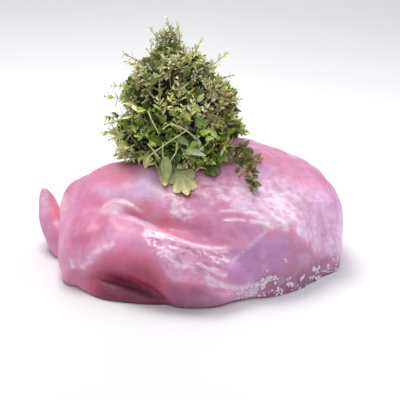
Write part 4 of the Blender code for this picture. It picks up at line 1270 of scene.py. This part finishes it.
def hanging_leaves():
    """Parsley leaves that lie over the front of the breast, laid on its field."""
    heap = Heap()
    for stalk, tip, width, lobes, colour in HANGING_LEAVES:
        stalk, tip = np.array(stalk, float), np.array(tip, float)
        length = np.linalg.norm(tip - stalk)
        ahead = unit(tip - stalk)
        up = unit(slope(breast_field, 0.5 * (stalk + tip) * MM))
        side = unit(np.cross(up, ahead))
        flat, faces = lobed_blank(lobes)
        x, y, layer = flat.T
        places = stalk + ahead * (x * length)[:, None] + side * (y * width)[:, None]
        from_middle = np.hypot(x - FLAT_MIDDLE, y)
        turn = np.arctan2(y, x - FLAT_MIDDLE)
        lift = PARSLEY_LIFT + 0.8 * np.sin(7 * y + 3) * np.cos(6 * x) + 0.22 * layer
        lift = lift + 1.3 * from_middle * np.cos(5 * turn)
        laid = settle(breast_field, places * MM, lift * MM, 6) / MM
        mottle = 1 + 0.12 * np.sin(19 * x + 3) * np.sin(23 * y + 1) - 0.2 * np.maximum(0, y)
        shade = mottle * (0.86 + 0.34 * vein_marks(x, y))
        rim = 0.74 + ramp(from_middle, 0.15, 0.6)[:, None] * np.array((0.5, 0.42, 0.3))
        heap.add(laid, faces, colour * rim * shade[:, None])
        line = (stalk - ahead * 8 + up * 4, stalk + up * 1.0, laid[np.argmin(np.abs(x - 0.1))])
        heap.add(*tube(smooth_route(tuple(map(tuple, line)), 4), 0.7, 0.5), STEM_PALE)
    return heap


def on_meat(points):
    """A smooth line through the points, laid over the breast like the thyme sprig's stems."""
    return settle(breast_field, smooth_route(points, 3) * MM, THYME_LIFT * MM, 5) / MM


def build_thyme():
    """Sprig lying on the breast: its leaves turn away from the surface under them."""
    rng = np.random.default_rng(17)
    line = on_meat(THYME_ROUTE)
    stalk = Heap()
    stalk.add(*tube(line, 0.8, 0.6), STEM_RED)
    pairs = []
    for lean, spacing, lengths in THYME_LEAVES:
        pairs += leaf_pairs(line, rng, lean, spacing, lengths, 1.5)
    for points in THYME_TWIGS:
        twig = on_meat(points)
        stalk.add(*tube(twig, 0.6, 0.4), STEM_RED)
        pairs += leaf_pairs(twig, rng, 0.8, 3.2, (5.0, 8.0), 1.5)
    outs = unit(slope(breast_field, np.array([base for base, *_ in pairs]) * MM))
    leaves = []
    for (base, along, face, length), out in zip(pairs, outs):
        along = unit(along + rng.normal(size=3) * 0.3 + out * (0.2 - min(0.0, along @ out)))
        tint = THYME_COLOURS[rng.integers(len(THYME_COLOURS))] * rng.uniform(0.36, 0.98) * THYME_WARMTH
        leaves.append(Leaf(base, along, unit(out + 0.6 * face), length, rng.uniform(0.36, 0.5) * length,
                           rng.uniform(0.05, 0.4), rng.uniform(-0.5, 0.3), tint))
    heap = Heap()
    heap.add(*place_leaves(leaf_blank(5, 1, thyme_outline), leaves))
    return [heap.build("thyme_leaves"), stalk.build("thyme_stem")]


# ---- the salt ----
GRAIN_FLAT = 0.68       # half width of a grain's sides, its own half size being 1
GRAIN_COUNT = 30
GRAIN_SIZE = (1.5, 2.6)
CLUMPED_SIZE = (1.2, 2.6)
LOOSE_GRAINS = 70
LOOSE_SIZE = (0.8, 1.6)
# middle of the clump, grains, spread
SALT_CLUSTERS = (
    ((38, -91, 8), 20, 1.9), ((42, -90, 10.5), 20, 1.9), ((46, -89, 12.5), 18, 1.7),
    ((50, -87, 14.5), 12, 1.5), ((54, -86, 16), 6, 1.3), ((31, -98, 9), 14, 1.8),
    ((35, -94, 5), 14, 1.8), ((75, -72, 9.5), 7, 1.0), ((85, -62, 12), 8, 1.1), ((88, -57, 9), 6, 1.2),
    ((66, -79, 7), 6, 1.6), ((58, -84, 5), 8, 1.8), ((96, -48, 6), 6, 1.6),
    ((62, -81, 27), 2, 0.7), ((49, -88, 22), 2, 0.7),
)


def outward_ring(corners, near):
    """The given points in a ring that runs anticlockwise seen from outside."""
    middle = corners[near].mean(0)
    out = unit(middle)
    first = unit(corners[near[0]] - middle)
    second = np.cross(out, first)
    turns = [math.atan2((corners[i] - middle) @ second, (corners[i] - middle) @ first) for i in near]
    return tuple(i for _, i in sorted(zip(turns, near)))


def grain_shape():
    """Points and faces of a cube with its edges and corners cut."""
    corners = []
    for axis in range(3):
        for sign, a, b in itertools.product((-1, 1), (-1, 1), (-1, 1)):
            point = np.zeros(3)
            point[axis] = sign
            point[(axis + 1) % 3] = GRAIN_FLAT * a
            point[(axis + 2) % 3] = GRAIN_FLAT * b
            corners.append(point)
    corners = np.array(corners)
    faces = []
    for way in itertools.product((-1, 0, 1), repeat=3):
        if any(way):
            reach = corners @ np.array(way)
            faces.append(outward_ring(corners, np.nonzero(reach > reach.max() - 0.001)[0].tolist()))
    return corners, faces


def build_salt():
    """Grains of coarse salt on the lower right edge, where the solid has them, and finer ones between."""
    rng = np.random.default_rng(11)
    share = (np.arange(GRAIN_COUNT) + rng.uniform(0, 1, GRAIN_COUNT)) / GRAIN_COUNT
    height = rng.uniform(1.5, 6.5, GRAIN_COUNT) + 9.0 * (rng.uniform(0, 1, GRAIN_COUNT) < 0.15)
    groups = [np.stack((30 + 76 * share, -100 + 60 * share**1.2, height), 1)]
    for middle, count, spread in SALT_CLUSTERS:
        groups.append(np.array(middle) + rng.normal(size=(count, 3)) * spread)
    share = rng.uniform(0, 1, LOOSE_GRAINS)**1.3
    height = rng.uniform(0.8, 6.5, LOOSE_GRAINS)
    groups.append(np.stack((28 + 76 * share, -101 + 60 * share**1.2, height), 1))
    places = settle(breast_field, np.vstack(groups) * MM, 0.1 * MM, 12, 0.006) / MM
    clumped = len(places) - GRAIN_COUNT - LOOSE_GRAINS
    sizes = [GRAIN_SIZE] * GRAIN_COUNT + [CLUMPED_SIZE] * clumped + [LOOSE_SIZE] * LOOSE_GRAINS
    corners, faces = grain_shape()
    salt = Heap()
    for place, (low, high) in zip(places, sizes):
        size = rng.uniform(low, high) / 2
        place[2] = max(place[2], size * 0.8)
        turn = turned(*rng.uniform(0, 360, 3)) * rng.uniform(0.7, 1.2, 3)
        points = place + (corners * size * 0.9) @ turn.T
        points[:, 2] = np.maximum(points[:, 2], 0.05)
        salt.add(points, faces, SALT_COLOURS[rng.integers(len(SALT_COLOURS))] * rng.uniform(0.88, 1.0))
    return salt.build("salt")


# ---- materials ----
class Shading:
    """A Principled material, with short ways to add nodes to it."""

    def __init__(self, name):
        self.material = bpy.data.materials.new(name)
        self.material.use_nodes = True
        self.tree = self.material.node_tree
        self.place = self.node("ShaderNodeTexCoord", "Object", {})

    def feed(self, sockets, values):
        """Set each socket to its number or colour, or link it to another node's output."""
        for key, value in values.items():
            if isinstance(value, bpy.types.NodeSocket):
                self.tree.links.new(value, sockets[key])
            else:
                sockets[key].default_value = value

    def node(self, kind, output, values, **settings):
        made = self.tree.nodes.new(kind)
        for key, value in settings.items():
            setattr(made, key, value)
        self.feed(made.inputs, values)
        return made.outputs[output]

    def read(self, attribute, output):
        return self.node("ShaderNodeAttribute", output, {}, attribute_name=attribute)

    def noise(self, scale, detail, vector=None):
        vector = self.place if vector is None else vector
        values = {"Vector": vector, "Scale": scale, "Detail": detail, "Roughness": 0.55}
        return self.node("ShaderNodeTexNoise", "Fac", values)

    def spread(self, value, to_low, to_high, low=0.3, high=0.7):
        values = {"Value": value, "From Min": low, "From Max": high, "To Min": to_low, "To Max": to_high}
        return self.node("ShaderNodeMapRange", "Result", values)

    def math(self, operation, a, b):
        return self.node("ShaderNodeMath", "Value", {0: a, 1: b}, operation=operation)

    def scaled(self, colour, factor):
        values = {"Vector": colour, "Scale": factor}
        return self.node("ShaderNodeVectorMath", "Vector", values, operation="SCALE")

    def bump(self, height, distance, strength):
        values = {"Height": height, "Distance": distance, "Strength": strength}
        return self.node("ShaderNodeBump", "Normal", values)

    def blend(self, share, low, high, positions=(0.0, 1.0)):
        made = self.tree.nodes.new("ShaderNodeValToRGB")
        for element, colour, position in zip(made.color_ramp.elements, (low, high), positions):
            element.position = position
            element.color = (*colour, 1)
        self.feed(made.inputs, {"Fac": share})
        return made.outputs["Color"]

    def finished(self, values):
        self.feed(self.tree.nodes["Principled BSDF"].inputs, values)
        return self.material


def meat_material():
    """Tinted meat with threads along the fibres, and a wet coat where it shines."""
    meat = Shading("raw_meat")
    shine = meat.read("shine", "Fac")
    threads = meat.noise(620.0, 3.0, meat.read("fibre", "Vector"))
    mottle = meat.noise(160.0, 4.0)
    grit = meat.noise(900.0, 2.0)
    uneven = meat.math("ADD", meat.spread(threads, -0.06, 0.06), meat.spread(mottle, 0.95, 1.05))
    height = meat.math("ADD", meat.math("MULTIPLY", threads, 0.6), meat.math("MULTIPLY", grit, 0.4))
    wetter = meat.math("MULTIPLY", shine, 0.26)
    return meat.finished({
        "Base Color": meat.scaled(meat.read("tint", "Color"), uneven),
        "Roughness": meat.math("SUBTRACT", meat.spread(mottle, 0.44, 0.58), wetter),
        "Normal": meat.bump(height, 0.00035, 0.7),
        "Subsurface Weight": 0.35,
        "Subsurface Radius": (1.0, 0.35, 0.3),
        "Subsurface Scale": 0.005,
        "Coat Weight": meat.spread(shine, 0.03, 0.6, 0.0, 1.0),
        "Coat Roughness": 0.14,
        "Specular IOR Level": 0.4,
    })


def leaf_material():
    """Tinted leaves with fine specks and a faint coat."""
    leaf = Shading("leaf")
    speck = leaf.noise(900.0, 2.0)
    cloud = leaf.noise(260.0, 3.0)
    shade = leaf.math("MULTIPLY", leaf.spread(speck, 0.88, 1.12), leaf.spread(cloud, 0.82, 1.18))
    return leaf.finished({
        "Base Color": leaf.scaled(leaf.read("tint", "Color"), shade),
        "Roughness": leaf.spread(speck, 0.4, 0.56),
        "Normal": leaf.bump(speck, 0.0002, 0.6),
        "Subsurface Weight": 0.15,
        "Subsurface Radius": (0.6, 1.0, 0.2),
        "Subsurface Scale": 0.001,
        "Coat Weight": 0.15,
        "Coat Roughness": 0.25,
    })


def core_material():
    """The dark green between the leaves, painted shade on the core under them."""
    core = Shading("herb_shade")
    clumps = core.noise(220.0, 4.0)
    return core.finished({
        "Base Color": core.blend(clumps, (0.006, 0.01, 0.003), (0.035, 0.05, 0.015), (0.35, 0.7)),
        "Roughness": core.spread(clumps, 0.7, 0.9),
        "Normal": core.bump(clumps, 0.002, 1.0),
    })


def salt_material():
    salt = Shading("salt")
    cloud = salt.noise(1400.0, 2.0)
    return salt.finished({
        "Base Color": salt.scaled(salt.read("tint", "Color"), salt.spread(cloud, 0.9, 1.08)),
        "Roughness": salt.spread(cloud, 0.2, 0.45),
        "Subsurface Weight": 0.15,
        "Subsurface Scale": 0.001,
    })


def floor_material():
    floor = Shading("pale_floor")
    cloud = floor.noise(6.0, 2.0)
    return floor.finished({
        "Base Color": floor.blend(cloud, (0.78, 0.78, 0.79), (0.82, 0.82, 0.83)),
        "Roughness": 0.9,
    })


# ---- the studio ----
# in metres: name, place, what it points at, diameter, power, colour
LIGHTS = (
    ("key", (-0.2, 0.2, 0.8), (0, -0.02, 0.05), 0.45, 5.2, (1.0, 0.98, 0.96)),
    ("side", (0.55, 0.1, 0.5), (0.02, -0.02, 0.04), 0.35, 1.4, (0.93, 0.95, 1.0)),
    ("front", (-0.1, -0.7, 0.75), (0, 0, 0.05), 0.3, 1.8, (1.0, 1.0, 1.0)),
    ("far_floor", (0, 1.9, 1.6), (0, 1.5, 0), 1.6, 16.0, (1.0, 1.0, 1.0)),
)
SKY_COLOUR = (0.93, 0.95, 1.0, 1.0)
SKY_STRENGTH = 0.38
FLOOR_HALF = 3.0
FLOOR_DROP = 0.0004     # keeps the floor from touching the underside


def add_light(name, place, target, size, power, colour):
    data = bpy.data.lights.new(name, "AREA")
    data.shape = "DISK"
    data.size = size
    data.energy = power
    data.color = colour
    light = bpy.data.objects.new(name, data)
    light.location = place
    light.rotation_euler = (Vector(target) - Vector(place)).to_track_quat("-Z", "Y").to_euler()
    bpy.context.scene.collection.objects.link(light)


def add_camera():
    """The photograph's camera."""
    data = bpy.data.cameras.new("camera")
    data.lens = CAMERA_LENS
    data.sensor_width = 36.0
    data.clip_start = 0.01
    camera = bpy.data.objects.new("camera", data)
    tilt_c, tilt_s = math.cos(CAMERA_TILT), math.sin(CAMERA_TILT)
    roll_c, roll_s = math.cos(CAMERA_ROLL), math.sin(CAMERA_ROLL)
    level_up = Vector((0, tilt_s, tilt_c))
    right = roll_c * Vector((1, 0, 0)) + roll_s * level_up
    up = -roll_s * Vector((1, 0, 0)) + roll_c * level_up
    back = Vector((0, -tilt_c, tilt_s))
    turn = Matrix((right, up, back)).transposed().to_4x4()
    camera.matrix_world = Matrix.Translation(CAMERA_PLACE) @ turn
    bpy.context.scene.collection.objects.link(camera)
    bpy.context.scene.camera = camera


def add_studio():
    """The pale floor, the soft surroundings and the lights."""
    corners = [(a * FLOOR_HALF, b * FLOOR_HALF, 0) for a, b in ((-1, -1), (1, -1), (1, 1), (-1, 1))]
    floor = add_object("floor", corners, ((0, 1, 2, 3),))
    floor.location.z = -FLOOR_DROP
    floor.data.materials.append(floor_material())
    world = bpy.data.worlds.new("studio")
    world.use_nodes = True
    background = world.node_tree.nodes["Background"]
    background.inputs["Color"].default_value = SKY_COLOUR
    background.inputs["Strength"].default_value = SKY_STRENGTH
    bpy.context.scene.world = world
    for light in LIGHTS:
        add_light(*light)
    bpy.context.scene.view_settings.view_transform = "Standard"


def finish(piece, material, replaced):
    """Give a piece its material in a slot of its own and its body, and hide the solid that it stands for.
    """
    piece.data.materials.clear()
    piece.data.materials.append(material)
    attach(piece, "root")
    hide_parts(replaced)


def main():
    breast = build_breast()
    finish(breast, meat_material(), "turkey_breast")
    finish(build_salt(), salt_material(), "turkey_breast")
    leaf = leaf_material()
    core, *herbs = build_bunch()
    finish(core, core_material(), "herb_bunch")
    for piece in herbs:
        finish(piece, leaf, "herb_bunch")
    for piece in build_thyme():
        finish(piece, leaf, "thyme_sprig")
    add_studio()
    add_camera()


main()
